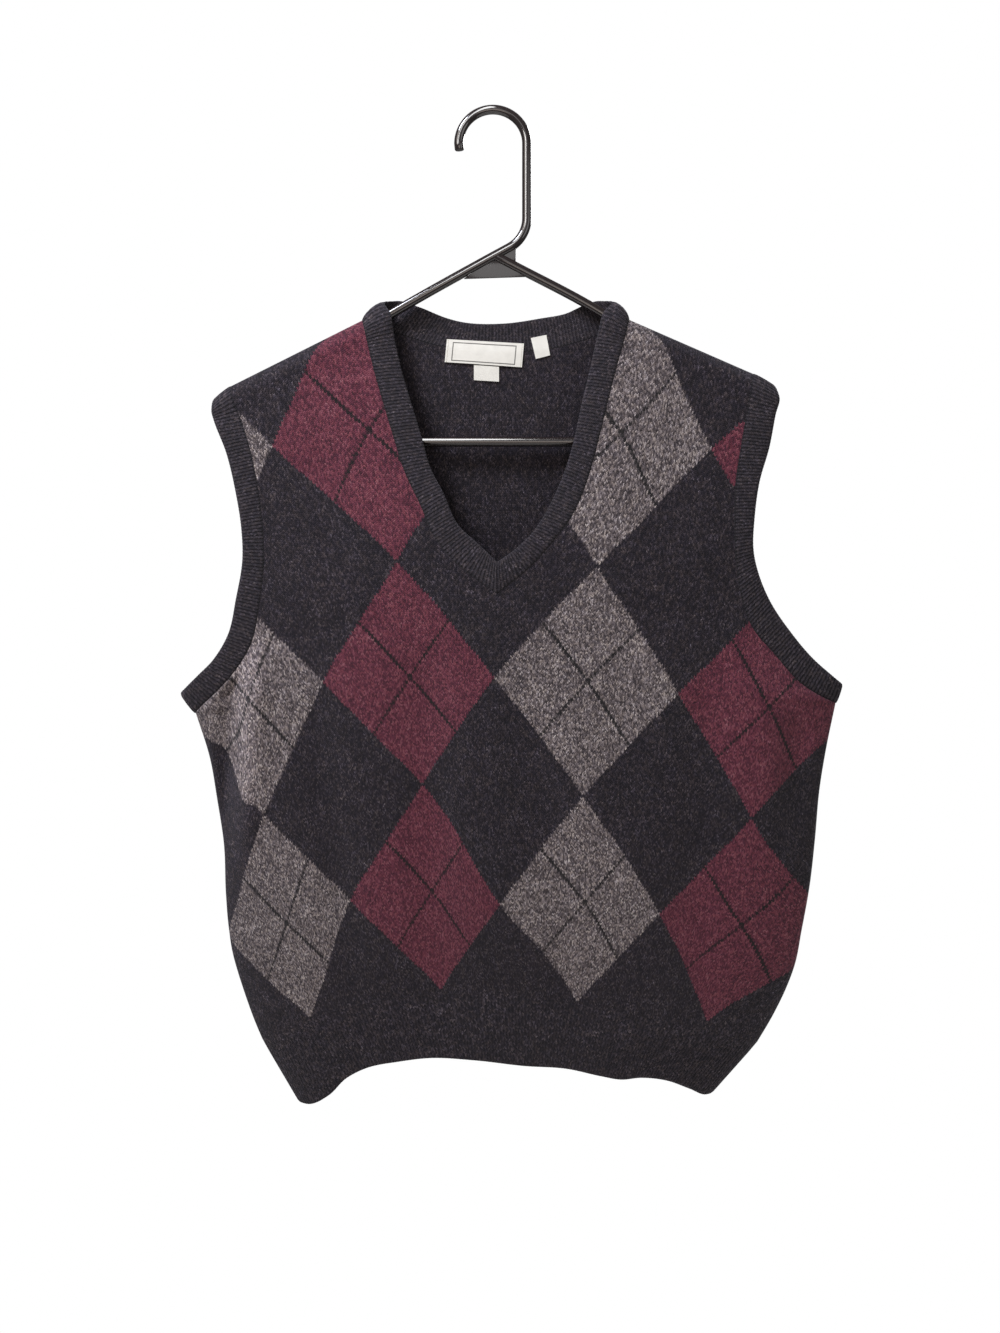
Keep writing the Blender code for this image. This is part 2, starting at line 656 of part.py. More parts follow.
def make_hanger(finish):
    hanger = placed("hanger", tube_mesh("hanger", hanger_route(), TUBE), finish)
    joined = (
        guide("knuckle", knuckle_mesh()),
        guide("lower_web", plate_mesh("lower_web", LOWER_WEB, WEB)),
        guide("upper_web", plate_mesh("upper_web", UPPER_WEB, WEB)),
    )
    for shape in joined:
        union = hanger.modifiers.new(shape.name, "BOOLEAN")
        union.operation = "UNION"
        union.object = shape
    return hanger


def make_vest():
    charcoal = material("charcoal_lambswool", CHARCOAL, 0.95)
    argyle = material("argyle_lambswool", BURGUNDY, 0.95)
    ribbing = material("ribbed_lambswool", RIB_CHARCOAL, 0.95)
    satin = material("woven_label", CREAM, 0.6)
    gloss = material("black_polystyrene", BLACK_GLOSS, 0.2)

    neck = Band(NECK_BAND, closed=False)
    armholes = {-1: ARMHOLE_LEFT, 1: ARMHOLE_RIGHT}
    holes = {side: Band(whole_armhole(rows), closed=True) for side, rows in armholes.items()}
    crests = {-1: NECK_LEFT_CREST, 1: NECK_RIGHT_CREST}
    v_ends = {-1: 0, 1: len(NECK_BAND) - 1}
    underarm = len(ARMHOLE_LEFT) - 1
    last = 2 * underarm

    front_halves, back_halves = [], []
    for side in (-1, 1):
        crest, hole = crests[side], holes[side]
        front_neck = (neck.at[crest], neck.at[crest + side], neck.at[v_ends[side]])
        front_hole = (hole.at[0], hole.at[1], hole.at[ARMHOLE_BESIDE_V], hole.at[underarm])
        top = (NECK_BAND[0][1] - SEAM_GAP, NECK_BAND[0][4])
        front_halves.append(panel_rows(neck, front_neck, hole, front_hole, top, side, -1, FRONT_ROWS))
        middle = middle_of_back(neck)
        back_neck = (neck.at[crest], neck.at[crest - side], middle)
        back_hole = (hole.at[last], hole.at[last - 1], hole.at[last - 3], hole.at[underarm])
        seam = neck.seam(middle)
        top = (seam[2] - SEAM_GAP, seam[1])
        back_halves.append(panel_rows(neck, back_neck, hole, back_hole, top, side, 1, BACK_ROWS))

    front_end = panel("front", front_halves, sum(FRONT_ROWS[:2]), FRONT_COLUMNS, FOLDS, argyle, (0, -0.2, 1))
    back_end = panel("back", back_halves, sum(BACK_ROWS[:2]), BACK_COLUMNS, BACK_FOLDS, charcoal, (0, 0.2, 1))
    ribbed_band("neck_band", neck, NECK_ACROSS, (0, -1, 0), ribbing)
    ribbed_band("armhole_band_left", holes[-1], ARMHOLE_ACROSS, (0, 0, 1), ribbing)
    ribbed_band("armhole_band_right", holes[1], ARMHOLE_ACROSS, (0, 0, 1), ribbing)
    hem_rib("hem_rib_front", front_end, HEM_FRONT, (-1, 0, 0), ribbing)
    hem_rib("hem_rib_back", back_end, HEM_BACK, (-1, 0, 0), ribbing)

    cloth_behind = [bpy.data.objects["back"], bpy.data.objects["neck_band"]]
    behind = inside_of_back(cloth_behind)
    label("neck_label", MAIN_LABEL, behind, satin)
    label("care_tag", CARE_TAG, behind, satin)
    label("size_tag", SIZE_TAG, behind, satin)
    make_hanger(gloss)


def middle_of_back(neck):
    """The distance along the neck band at which it crosses the centre line behind the neck."""
    low, high = neck.at[NECK_LEFT_CREST + 1], neck.at[NECK_RIGHT_CREST - 1]
    for _ in range(40):
        between = (low + high) / 2
        if neck.read(between)[0] < CENTRE_X:
            low = between
        else:
            high = between
    return (low + high) / 2


def clear_scene():
    for old in list(bpy.data.objects):
        bpy.data.objects.remove(old)


def main():
    clear_scene()
    for name in (PART, "joined_shapes"):
        bpy.context.scene.collection.children.link(bpy.data.collections.new(name))
    make_vest()


main()
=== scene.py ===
"""A knitted V-neck sweater vest hanging on a moulded tubular hanger: its cloth, its stitches and its finish.

Sizes are in millimetres until a point is written to a mesh. The front faces -Y and +Z is up. The knitted
pieces are walls of cloth worked out along their seams, and each carries a knitter's chart as its UV map: one
unit across is a wale, one unit up is a course. The argyle, the stitches and the flecks are drawn on it.
"""

import math
from types import SimpleNamespace
import bmesh
import bpy
import numpy as np
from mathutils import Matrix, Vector
from mathutils.bvhtree import BVHTree


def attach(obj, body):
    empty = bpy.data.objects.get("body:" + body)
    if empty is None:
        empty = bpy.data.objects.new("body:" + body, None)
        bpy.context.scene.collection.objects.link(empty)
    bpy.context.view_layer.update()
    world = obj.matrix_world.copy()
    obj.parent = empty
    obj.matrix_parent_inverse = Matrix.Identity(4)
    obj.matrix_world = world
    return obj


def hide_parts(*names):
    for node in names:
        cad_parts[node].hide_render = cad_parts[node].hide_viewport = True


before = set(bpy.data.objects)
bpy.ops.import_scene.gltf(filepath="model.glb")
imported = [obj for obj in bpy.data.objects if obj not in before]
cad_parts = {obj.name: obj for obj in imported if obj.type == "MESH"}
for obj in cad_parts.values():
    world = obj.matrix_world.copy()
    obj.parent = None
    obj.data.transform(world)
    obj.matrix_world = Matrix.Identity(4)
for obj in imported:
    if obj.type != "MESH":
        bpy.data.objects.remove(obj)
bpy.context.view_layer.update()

MM = 0.001

# ---------------------------------------------------------------------------------------------- sizes

CLOTH = 2.0
SEAM_LAP = 0.3  # how far a panel reaches into the band that is linked to it
SIDE_GAP = 0.12  # from a side seam's middle to the cloth on each side of it
WALE, COURSE = 2.0, 1.39  # one stitch of the jersey, across and up
BAND_STEPS, HEM_RIB_STEPS, STATIONS_PER_RIB = 8, 14, 4
RIB_PITCH = 2.7  # one knitted wale of the ribbing and the furrow beside it
RIB_HEIGHT, HEM_RIB_HEIGHT = 0.6, 0.32
# The shares of a band over which its ribs reach that height, and how much of it they have at the edge.
RIB_RISE, HEM_RIB_RISE, HEM_RIB_FALL, RIB_AT_EDGE = 0.12, 0.2, 0.05, 0.25
# How much the wall thins on each side where a band is folded over, not cut; beside that; and at its seam.
FOLDED_EDGE, BESIDE_EDGE, SEAM_EDGE = 0.75, 0.25, 0.2

NECK_BAND = (
    # seam_x, seam_z, edge_x, edge_z, depth, roll: from the V, up the left, round the back, down the right
    (2.9, -385.0, 2.9, -359.5, -29.0, 1.0),
    (-27.0, -363.0, -11.5, -345.5, -27.5, 1.0),
    (-46.5, -340.5, -28.5, -329.0, -25.0, 1.0),
    (-57.0, -316.5, -39.0, -305.5, -22.0, 1.0),
    (-70.5, -288.0, -50.0, -283.5, -18.5, 1.0),
    (-79.5, -260.0, -57.5, -257.0, -15.5, 1.0),
    (-87.5, -233.5, -65.5, -231.0, -13.0, 1.0),
    (-95.0, -207.5, -73.0, -205.5, -10.5, 1.0),
    (-100.5, -185.0, -78.5, -181.0, -8.5, 1.2),
    (-103.5, -171.5, -82.0, -160.0, -7.2, 2.0),
    (-105.0, -165.0, -87.0, -150.0, 0.0, 3.0),
    (-103.0, -169.5, -80.0, -147.5, 7.2, 2.2),
    (-75.5, -175.5, -60.0, -152.5, 8.5, 1.0),
    (-53.0, -182.5, -38.5, -161.0, 9.5, 1.0),
    (-19.0, -188.5, -16.5, -165.5, 10.0, 1.0),
    (9.0, -189.5, 9.0, -165.5, 10.0, 1.0),
    (41.5, -187.5, 37.5, -161.5, 10.0, 1.0),
    (63.0, -183.0, 58.5, -157.5, 9.5, 1.0),
    (79.0, -178.0, 72.0, -151.5, 8.5, 1.0),
    (106.0, -169.5, 87.5, -147.5, 7.2, 2.2),
    (108.5, -164.5, 94.5, -149.5, 0.0, 3.0),
    (107.0, -171.0, 87.5, -159.5, -7.2, 2.0),
    (104.0, -183.5, 82.5, -179.0, -8.5, 1.2),
    (98.0, -204.5, 77.5, -201.5, -10.5, 1.0),
    (91.0, -232.0, 71.0, -228.5, -13.0, 1.0),
    (83.5, -262.5, 64.5, -258.5, -15.5, 1.0),
    (74.5, -294.5, 56.5, -286.5, -18.5, 1.0),
    (62.5, -322.5, 44.0, -315.0, -22.0, 1.0),
    (47.5, -343.0, 31.5, -335.0, -25.0, 1.0),
    (29.5, -363.5, 17.0, -349.5, -27.5, 1.0),
    (3.1, -385.0, 3.1, -359.5, -29.0, 1.0),
)
NECK_LEFT_CREST, NECK_RIGHT_CREST = 10, 20

ARMHOLE_LEFT = (
    # seam_x, seam_z, edge_x, edge_z, depth, roll: from the shoulder, down the front, to the underarm
    (-210.0, -217.5, -225.0, -230.0, 0.0, 0.6),
    (-208.5, -224.5, -225.0, -237.0, -7.2, 0.6),
    (-202.5, -240.0, -222.8, -245.5, -8.5, 0.6),
    (-193.5, -267.5, -212.5, -272.0, -10.0, 0.6),
    (-187.0, -299.0, -205.0, -303.0, -11.0, 0.6),
    (-183.0, -328.5, -200.5, -331.0, -11.5, 0.6),
    (-182.0, -358.5, -199.5, -357.0, -12.0, 0.6),
    (-185.5, -392.0, -204.5, -387.5, -12.0, 0.6),
    (-192.5, -424.5, -211.5, -417.5, -11.5, 0.6),
    (-204.5, -444.5, -223.0, -436.5, -10.5, 0.6),
    (-218.5, -460.5, -235.0, -448.5, -9.0, 0.6),
    (-231.5, -472.5, -245.0, -458.0, -6.0, 0.6),
    (-238.5, -479.0, -250.5, -463.0, 0.0, 0.6),
)
ARMHOLE_RIGHT = (
    (207.5, -207.5, 226.0, -218.5, 0.0, 0.6),
    (205.5, -214.5, 228.0, -226.5, -7.2, 0.6),
    (201.5, -237.0, 224.6, -241.5, -8.5, 0.6),
    (196.5, -265.5, 219.4, -267.5, -10.0, 0.6),
    (192.0, -295.0, 211.5, -295.0, -11.0, 0.6),
    (191.0, -324.5, 207.5, -324.0, -11.5, 0.6),
    (191.5, -351.0, 206.5, -347.5, -12.0, 0.6),
    (195.0, -379.5, 210.5, -367.5, -12.0, 0.6),
    (204.5, -409.5, 221.0, -392.0, -11.5, 0.6),
    (223.0, -432.0, 238.0, -416.5, -10.5, 0.6),
    (244.0, -455.0, 255.5, -436.5, -9.0, 0.6),
    (263.5, -467.0, 271.5, -450.0, -6.0, 0.6),
    (274.0, -471.0, 279.0, -455.5, 0.0, 0.6),
)
ARMHOLE_BESIDE_V = 8
BACK_OF_ARMHOLE = 0.8  # how deep the back of an armhole is, as a share of the depth of its front
HANGER_ROOM = 6.8  # the least depth behind the hanger's arms
BACK_BAND_TUCK, FULL_TUCK_DEPTH = 2.0, 6.0  # how far the band's edge turns in behind, and where it is all in

BODY = (
    # left_x, left_z, right_x, right_z, middle_z, front, back: from the underarm to the top of the hem rib
    (-238.0, -479.3, 273.5, -471.5, -460.0, -33.0, 16.0),
    (-227.0, -514.0, 266.0, -507.5, -495.0, -35.0, 18.0),
    (-221.0, -547.5, 260.5, -541.5, -530.0, -36.5, 19.5),
    (-215.5, -584.5, 257.0, -580.5, -566.0, -37.5, 20.5),
    (-214.0, -623.0, 252.5, -619.0, -603.0, -38.0, 21.0),
    (-211.5, -652.0, 246.5, -652.0, -632.0, -37.5, 21.0),
    (-207.5, -675.0, 240.5, -681.5, -655.0, -36.5, 20.0),
    (-191.5, -723.5, 222.0, -723.0, -685.0, -33.0, 17.5),
    (-185.0, -739.0, 211.0, -741.5, -698.0, -31.0, 16.5),
)
CENTRE_X = 3.0
SECTION_POWER = 2.4  # the body's cross-section lies between an oval and a box
CHEST_ROUND, UNDERARM_ROUND, BODY_ROUND = 1.0, 0.6, 0.5  # powers of the bulge between the centre and the side
RIB_SAG = {-1: 1.6, 1: 0.4}  # how much later the top of the rib drops towards the left and the right side
HEM = (
    # x, z of the lower edge, from the left corner to the right one
    (-155.0, -790.0),
    (-147.0, -790.0),
    (-130.5, -781.5),
    (-116.5, -767.5),
    (-102.0, -759.5),
    (-73.5, -753.0),
    (-50.0, -750.0),
    (-16.0, -751.5),
    (24.0, -756.0),
    (58.5, -758.5),
    (84.5, -764.5),
    (100.5, -767.5),
    (117.0, -766.5),
    (137.5, -769.5),
    (156.0, -777.0),
    (169.5, -783.0),
    (174.0, -783.0),
)
HEM_FRONT, HEM_BACK = -26.0, 13.0
HEM_CENTRE_X = 7.0
HEM_ROLL = 0.9
HEM_STEPS = 400  # how finely the lower edge is read

FOLDS = (
    # top_x, top_z, bottom_x, bottom_z, half_width, depth: soft furrows, or ridges where the depth is negative
    (-207.0, -430.0, -213.0, -590.0, 11.0, 9.0),
    (-184.0, -400.0, -198.0, -640.0, 11.0, -7.0),
    (244.0, -470.0, 236.0, -590.0, 13.0, 4.0),
    (216.0, -440.0, 212.0, -640.0, 14.0, -2.0),
    (-152.0, -400.0, -103.0, -760.0, 17.0, 4.4),
    (-60.0, -380.0, -38.0, -770.0, 20.0, 5.6),
    (12.0, -420.0, 76.0, -770.0, 17.0, 4.4),
    (100.0, -390.0, 104.0, -600.0, 15.0, 2.2),
    (172.0, -390.0, 154.0, -770.0, 19.0, 5.0),
    (-142.0, -250.0, -128.0, -400.0, 18.0, 1.6),
    (150.0, -240.0, 138.0, -380.0, 18.0, 1.4),
)
BACK_FOLDS = (
    (-206.0, -465.0, -196.0, -610.0, 13.0, 7.0),
    (236.0, -470.0, 226.0, -600.0, 13.0, 7.0),
    (-124.0, -430.0, -131.0, -735.0, 17.0, 5.0),
    (-92.0, -470.0, -98.0, -730.0, 14.0, -2.0),
    (-44.0, -560.0, -38.0, -725.0, 13.0, 3.4),
    (36.0, -330.0, 44.0, -560.0, 20.0, 4.0),
    (62.0, -600.0, 58.0, -730.0, 12.0, 3.0),
    (138.0, -400.0, 131.0, -720.0, 17.0, 5.2),
    (-148.0, -240.0, -130.0, -400.0, 18.0, 3.0),
)
FOLD_IN, FOLD_OUT = 0.25, 0.5  # the shares of a fold's length over which it starts and dies away
FOLD_TO_SIDE, FOLD_TO_SEAM = 7.0, 13.0  # where a fold reaches its depth, from a side seam and from a band
HIGHLIT_RIDGE_DEPTH, HIGHLIGHT_SHIFT = 4.0, 7.0  # ridges deeper than this get a painted highlight, drawn this far to their left, on the flank facing the window lamp
# The cloth turns over the shoulders, and on the back round the body's sides, where it is less deep than this.
SHOULDER_TURN, SHOULDERS_END = 7.2, -250.0
SIDE_TURN, SIDES_START, SIDES_BLEND = 12.0, -440.0, 40.0
FRONT_ROWS, FRONT_COLUMNS = (8, 62, 24, 78), 52
BACK_ROWS, BACK_COLUMNS = (8, 20, 60, 60), 40

# Where the argyle's corners lie on the cloth. A diamond is two units wide and two high, and reaches from its
# middle to its corners in one. Columns run from four units left of the centre front to four right of it.
ARGYLE_LEFT = -4
ARGYLE_TOP = -1
ARGYLE_X = (
    # x at -4, -3, -2, -1, 0, 1, 2, 3, 4 units across, one row for each unit down
    (-362.0, -282.0, -200.0, -118.0, -2.0, 114.0, 189.0, 292.0, 392.0),
    (-322.0, -249.0, -175.5, -98.5, 0.0, 101.0, 173.0, 266.0, 346.0),
    (-284.0, -219.0, -150.0, -76.0, 1.0, 81.5, 159.0, 235.0, 305.0),
    (-245.0, -193.0, -134.0, -65.5, 0.7, 74.0, 145.3, 217.5, 281.0),
    (-233.0, -180.5, -120.0, -55.5, 4.0, 70.0, 138.0, 203.0, 264.0),
    (-212.0, -162.5, -112.0, -48.0, 5.0, 71.5, 130.0, 195.0, 285.0),
    (-195.0, -144.5, -95.0, -41.0, 12.0, 65.5, 118.0, 168.5, 228.0),
    (-178.0, -130.0, -82.0, -33.0, 14.0, 61.0, 108.0, 156.0, 205.0),
)
ARGYLE_Z = (
    # z at the same places
    (-172.0, -165.0, -157.0, -150.0, -150.0, -150.0, -158.0, -168.0, -178.0),
    (-278.0, -270.0, -267.0, -255.0, -256.0, -257.5, -269.5, -290.0, -308.0),
    (-388.0, -375.0, -365.0, -359.5, -360.0, -363.5, -369.0, -377.0, -388.0),
    (-482.0, -468.0, -454.5, -450.5, -451.0, -454.0, -463.5, -474.5, -488.0),
    (-573.0, -559.0, -544.0, -534.5, -539.0, -543.5, -553.0, -561.5, -566.0),
    (-657.0, -644.0, -625.5, -618.0, -628.0, -626.5, -636.0, -646.0, -660.0),
    (-741.0, -719.5, -712.0, -696.0, -700.0, -705.5, -716.0, -722.5, -740.0),
    (-822.0, -805.0, -790.0, -775.0, -780.0, -785.0, -795.0, -805.0, -818.0),
)
WALES_PER_UNIT, COURSES_PER_UNIT = 34, 66
ARGYLE_END = 5
UNIT_WIDTH, UNIT_HEIGHT, ARGYLE_START = 68.0, 92.0, 170.0  # an even lattice, for a first guess of a place
TUCKS = (
    # x, middle_z, half_width, half_height, lift: a crease under the left arm draws the pattern up or down
    (-214.0, -520.0, 9.0, 45.0, 12.0),
    (-197.0, -530.0, 6.0, 40.0, -9.0),
)

TUBE = 3.8  # its radius
HOOK_RADIUS = 27.2
HOOK_CENTRE = (-0.5, -23.4)
HOOK_STEPS, BEND_STEPS, END_STEPS, ARM_SPACING = 48, 20, 24, 6.0
HOOK_TIP = ((0.6, -5.4), (0.53, -4.7))  # the tube's first two points, from the end of the hook's arc
TIP_SHARE, KNUCKLE_SHARE = 0.86, 0.85  # how much of its thickness the tube has at its two ends
STEM_BEND_TOP, STEM_BEND_RADIUS = -83.0, 27.0
ARM_LEFT = ((-1.0, -114.0), (-51.0, -141.8), (-81.0, -159.0), (-105.0, -173.0), (-190.0, -219.6))
ARM_RIGHT = ((198.0, -215.4), (109.0, -172.8), (82.0, -156.0), (18.0, -122.0), (7.6, -116.6))
BAR_Z = -262.0
KNUCKLE = (0.5, -113.0)  # where the right arm ends, inside the left one
WEB, WEB_ROUND = 2.6, 0.4  # how thick the webs are, and the radius of their edges
LOWER_WEB = ((1.0, -113.0), (-22.5, -131.2), (26.0, -129.6))
UPPER_WEB = ((3.0, -113.0), (17.5, -103.5), (17.5, -121.8))

LABEL = 0.8  # how thick a label is
LABEL_GAP = 0.3
LABEL_CELLS = (24, 10)
LABEL_WAVE = 0.9  # how far the label's lower edge bows off the cloth between its sewn ends
TOP_BOW = 0.35  # how much of that its upper edge does
RIPPLE, RIPPLE_TURNS = 0.5, 9.0
BORDER = ((5.5, 56.0), (-16.8, -2.4))  # the woven line's box on the label: across it, and down from its top
BORDER_HALF, BORDER_COVER = 0.42, 0.85  # half the line's width, and how much it covers of the ground
STITCH, THREAD = 1.9, 0.45
STITCH_REACH = 1.15  # each stitch runs on into the next
SEWN_IN = 1.4  # from the label's end to its line of stitches
SEWN_DOWN = (0.04, 0.96, 9)  # where such a line starts and ends, as shares of the height, and its points
MAIN_LABEL = ((-37.5, -178.5), (24.5, -182.0), (22.8, -201.2), (-39.3, -197.0))
CARE_TAG = ((-15.8, -199.4), (4.4, -200.7), (4.4, -212.7), (-15.8, -211.5))
SIZE_TAG = ((30.0, -177.5), (42.5, -175.0), (45.5, -191.5), (34.0, -194.5))

# --------------------------------------------------------------------------------------------- camera


def placed(name, data):
    """A new object in the scene."""
    made = bpy.data.objects.new(name, data)
    bpy.context.scene.collection.objects.link(made)
    return made


# The sensor in millimetres, then the distance from the hook and the view's height there in metres.
SENSOR, CAMERA_AWAY, VIEW_HEIGHT = 36.0, 1.5, 1.0664
camera_data = bpy.data.cameras.new("camera")
camera_data.sensor_width = SENSOR
camera_data.lens = SENSOR * CAMERA_AWAY / VIEW_HEIGHT
camera = placed("camera", camera_data)
camera.location = (0.0052, -CAMERA_AWAY, -0.4417)
camera.rotation_euler = (math.pi / 2, 0.0, 0.0)
bpy.context.scene.camera = camera

# ------------------------------------------------------------------------------------ seams and walls


class Track:
    """Rows of numbers joined by one smooth curve, read by the distance along it."""

    def __init__(self, rows, places, closed=False):
        self.rows = np.array(rows, float)
        steps = np.linalg.norm(np.diff(np.array(places, float), axis=0), axis=1)
        self.at = np.concatenate([[0.0], np.cumsum(steps)])
        slopes = np.diff(self.rows, axis=0) / steps[:, None]
        self.slopes = np.vstack([slopes[:1], slopes])
        for i in range(1, len(self.rows) - 1):
            before, after = steps[i - 1], steps[i]
            self.slopes[i] = (slopes[i - 1] * after + slopes[i] * before) / (before + after)
        if closed:
            self.slopes[0] = self.slopes[-1] = (slopes[0] + slopes[-1]) / 2
        self.length = self.at[-1]

    def read(self, distance):
        i = int(np.clip(np.searchsorted(self.at, distance, side="right") - 1, 0, len(self.at) - 2))
        step = self.at[i + 1] - self.at[i]
        t = (distance - self.at[i]) / step
        leave, arrive = self.slopes[i] * step, self.slopes[i + 1] * step
        return (
            self.rows[i] * (2 * t**3 - 3 * t**2 + 1)
            + leave * (t**3 - 2 * t**2 + t)
            + self.rows[i + 1] * (3 * t**2 - 2 * t**3)
            + arrive * (t**3 - t**2)
        )


def seam_point(row):
    return np.array((row[0], row[4], row[1]))


def edge_point(row):
    return np.array((row[2], row[4], row[3]))


class Band(Track):
    """A band's rows, read by the distance along the middle of the band.

    turn is -1 where the rows run the other way round, as they do on the right armhole.
    """

    HALF_STEP = 0.5

    def __init__(self, rows, closed, turn=1):
        super().__init__(rows, [(seam_point(row) + edge_point(row)) / 2 for row in rows], closed)
        self.closed, self.turn = closed, turn

    def seam(self, at):
        return seam_point(self.read(at))

    def along(self, at):
        before, after = max(0.0, at - self.HALF_STEP), min(self.length, at + self.HALF_STEP)
        if self.closed and (at < self.HALF_STEP or at > self.length - self.HALF_STEP):
            before, after = self.length - self.HALF_STEP, self.HALF_STEP
        way = self.seam(after) - self.seam(before)
        return way / np.linalg.norm(way)

    def facing(self, at):
        """The direction the band's outside faces at its seam, as the panel sewn to it does there."""
        row = self.read(at)
        out = self.turn * np.cross(edge_point(row) - seam_point(row), self.along(at))
        return out / np.linalg.norm(out)


def whole_armhole(rows):
    """The front rows of an armhole, and the same ones behind it, back up to the shoulder."""
    inward = -1 if rows[0][0] > 0 else 1
    behind = []
    for seam_x, seam_z, edge_x, edge_z, depth, roll in reversed(rows[:-1]):
        tuck = inward * BACK_BAND_TUCK * min(1.0, -depth / FULL_TUCK_DEPTH)
        depth_behind = max(-depth * BACK_OF_ARMHOLE, min(-depth, HANGER_ROOM))
        behind.append((seam_x, seam_z, edge_x + tuck, edge_z, depth_behind, roll))
    return tuple(rows) + tuple(behind)


def smooth_step(t):
    t = np.clip(t, 0.0, 1.0)
    return t * t * (3 - 2 * t)


def fold_depth(points, folds, shift=0.0):
    """How far the soft furrows take the cloth inwards at each point. shift moves them all to the right."""
    total = np.zeros(len(points))
    for top_x, top_z, bottom_x, bottom_z, half_width, depth in folds:
        along = (top_z - points[:, 2]) / (top_z - bottom_z)
        middle = top_x + (bottom_x - top_x) * along + shift
        ends = smooth_step(along / FOLD_IN) * smooth_step((1 - along) / FOLD_OUT)
        total += depth * ends * np.exp(-(((points[:, 0] - middle) / half_width) ** 2))
    return total


def pulled_in(band, at, towards):
    """Where a panel's row ends in the band, on the line towards the other end of the row."""
    point, along = band.seam(at), band.along(at)
    way = (towards - point) / np.linalg.norm(towards - point)
    square = way - along * np.dot(way, along)
    return point - way * (SEAM_LAP / np.linalg.norm(square))


class Row:
    """One row of a panel, from its neck or centre line to its armhole or side seam."""

    def __init__(self, inner, outer, roundness, sag=1.0, inner_facing=None, outer_facing=None):
        self.inner, self.outer = np.array(inner, float), np.array(outer, float)
        self.roundness, self.sag = roundness, sag
        self.inner_facing, self.outer_facing = inner_facing, outer_facing

    def points(self, across):
        bulge = (1 - across**SECTION_POWER) ** self.roundness
        step = self.outer - self.inner
        x, y = self.inner[0] + step[0] * across, self.outer[1] - step[1] * bulge
        return np.stack([x, y, self.inner[2] + step[2] * across**self.sag], axis=1)


def panel_rows(neck, neck_places, armhole, armhole_places, middle_top, side, face, counts):
    """The rows of one half of a panel, from the shoulder to the hem rib."""
    over, upper, middle, lower = counts
    rows = []
    for stage, count in enumerate((over, upper)):
        neck_step = (neck_places[stage + 1] - neck_places[stage]) / count
        hole_step = (armhole_places[stage + 1] - armhole_places[stage]) / count
        for i in range(count):
            at_neck = neck_places[stage] + neck_step * i
            at_hole = armhole_places[stage] + hole_step * i
            inner = pulled_in(neck, at_neck, armhole.seam(at_hole))
            outer = pulled_in(armhole, at_hole, neck.seam(at_neck))
            rows.append(Row(inner, outer, 1.0, 1.0, neck.facing(at_neck), armhole.facing(at_hole)))
    rows[0].inner[1] = rows[0].outer[1] = face * SIDE_GAP
    depth_column = 5 if face < 0 else 6
    x_column, z_column = (0, 1) if side < 0 else (2, 3)
    start = np.array((CENTRE_X, middle_top[1], middle_top[0]))
    finish = np.array((CENTRE_X, BODY[0][depth_column], BODY[0][4]))
    hole_step = (armhole_places[3] - armhole_places[2]) / middle
    for i in range(middle):
        t = i / middle
        at_hole = armhole_places[2] + hole_step * i
        inner = start + (finish - start) * t
        outer = pulled_in(armhole, at_hole, inner)
        roundness = CHEST_ROUND - (CHEST_ROUND - UNDERARM_ROUND) * t
        rows.append(Row(inner, outer, roundness, 1.0, None, armhole.facing(at_hole)))
    body = Track(BODY, [(0.0, row[4]) for row in BODY])
    for i in range(lower + 1):
        t = i / lower
        section = body.read(body.length * t)
        inner = (CENTRE_X, section[depth_column], section[4])
        outer = (section[x_column], face * SIDE_GAP, section[z_column])
        sag = 1.0 + RIB_SAG[side] * smooth_step(t)
        roundness = UNDERARM_ROUND - (UNDERARM_ROUND - BODY_ROUND) * smooth_step(4 * t)
        at_corner = armhole.facing(armhole_places[3]) if i == 0 else None
        rows.append(Row(inner, outer, roundness, sag, None, at_corner))
    return rows


def grid_faces(rows, columns, closed=False):
    i, j = np.meshgrid(np.arange(rows if closed else rows - 1), np.arange(columns - 1), indexing="ij")
    here, after = i * columns + j, (i + 1) % rows * columns + j
    return np.stack([here, here + 1, after + 1, after], axis=-1).reshape(-1, 4)


def point_normals(points, faces):
    a, b, c, d = (points[faces[:, k]] for k in range(4))
    square = np.cross(c - a, d - b)
    normals = np.zeros_like(points)
    for k in range(4):
        np.add.at(normals, faces[:, k], square)
    return normals / np.linalg.norm(normals, axis=1)[:, None]


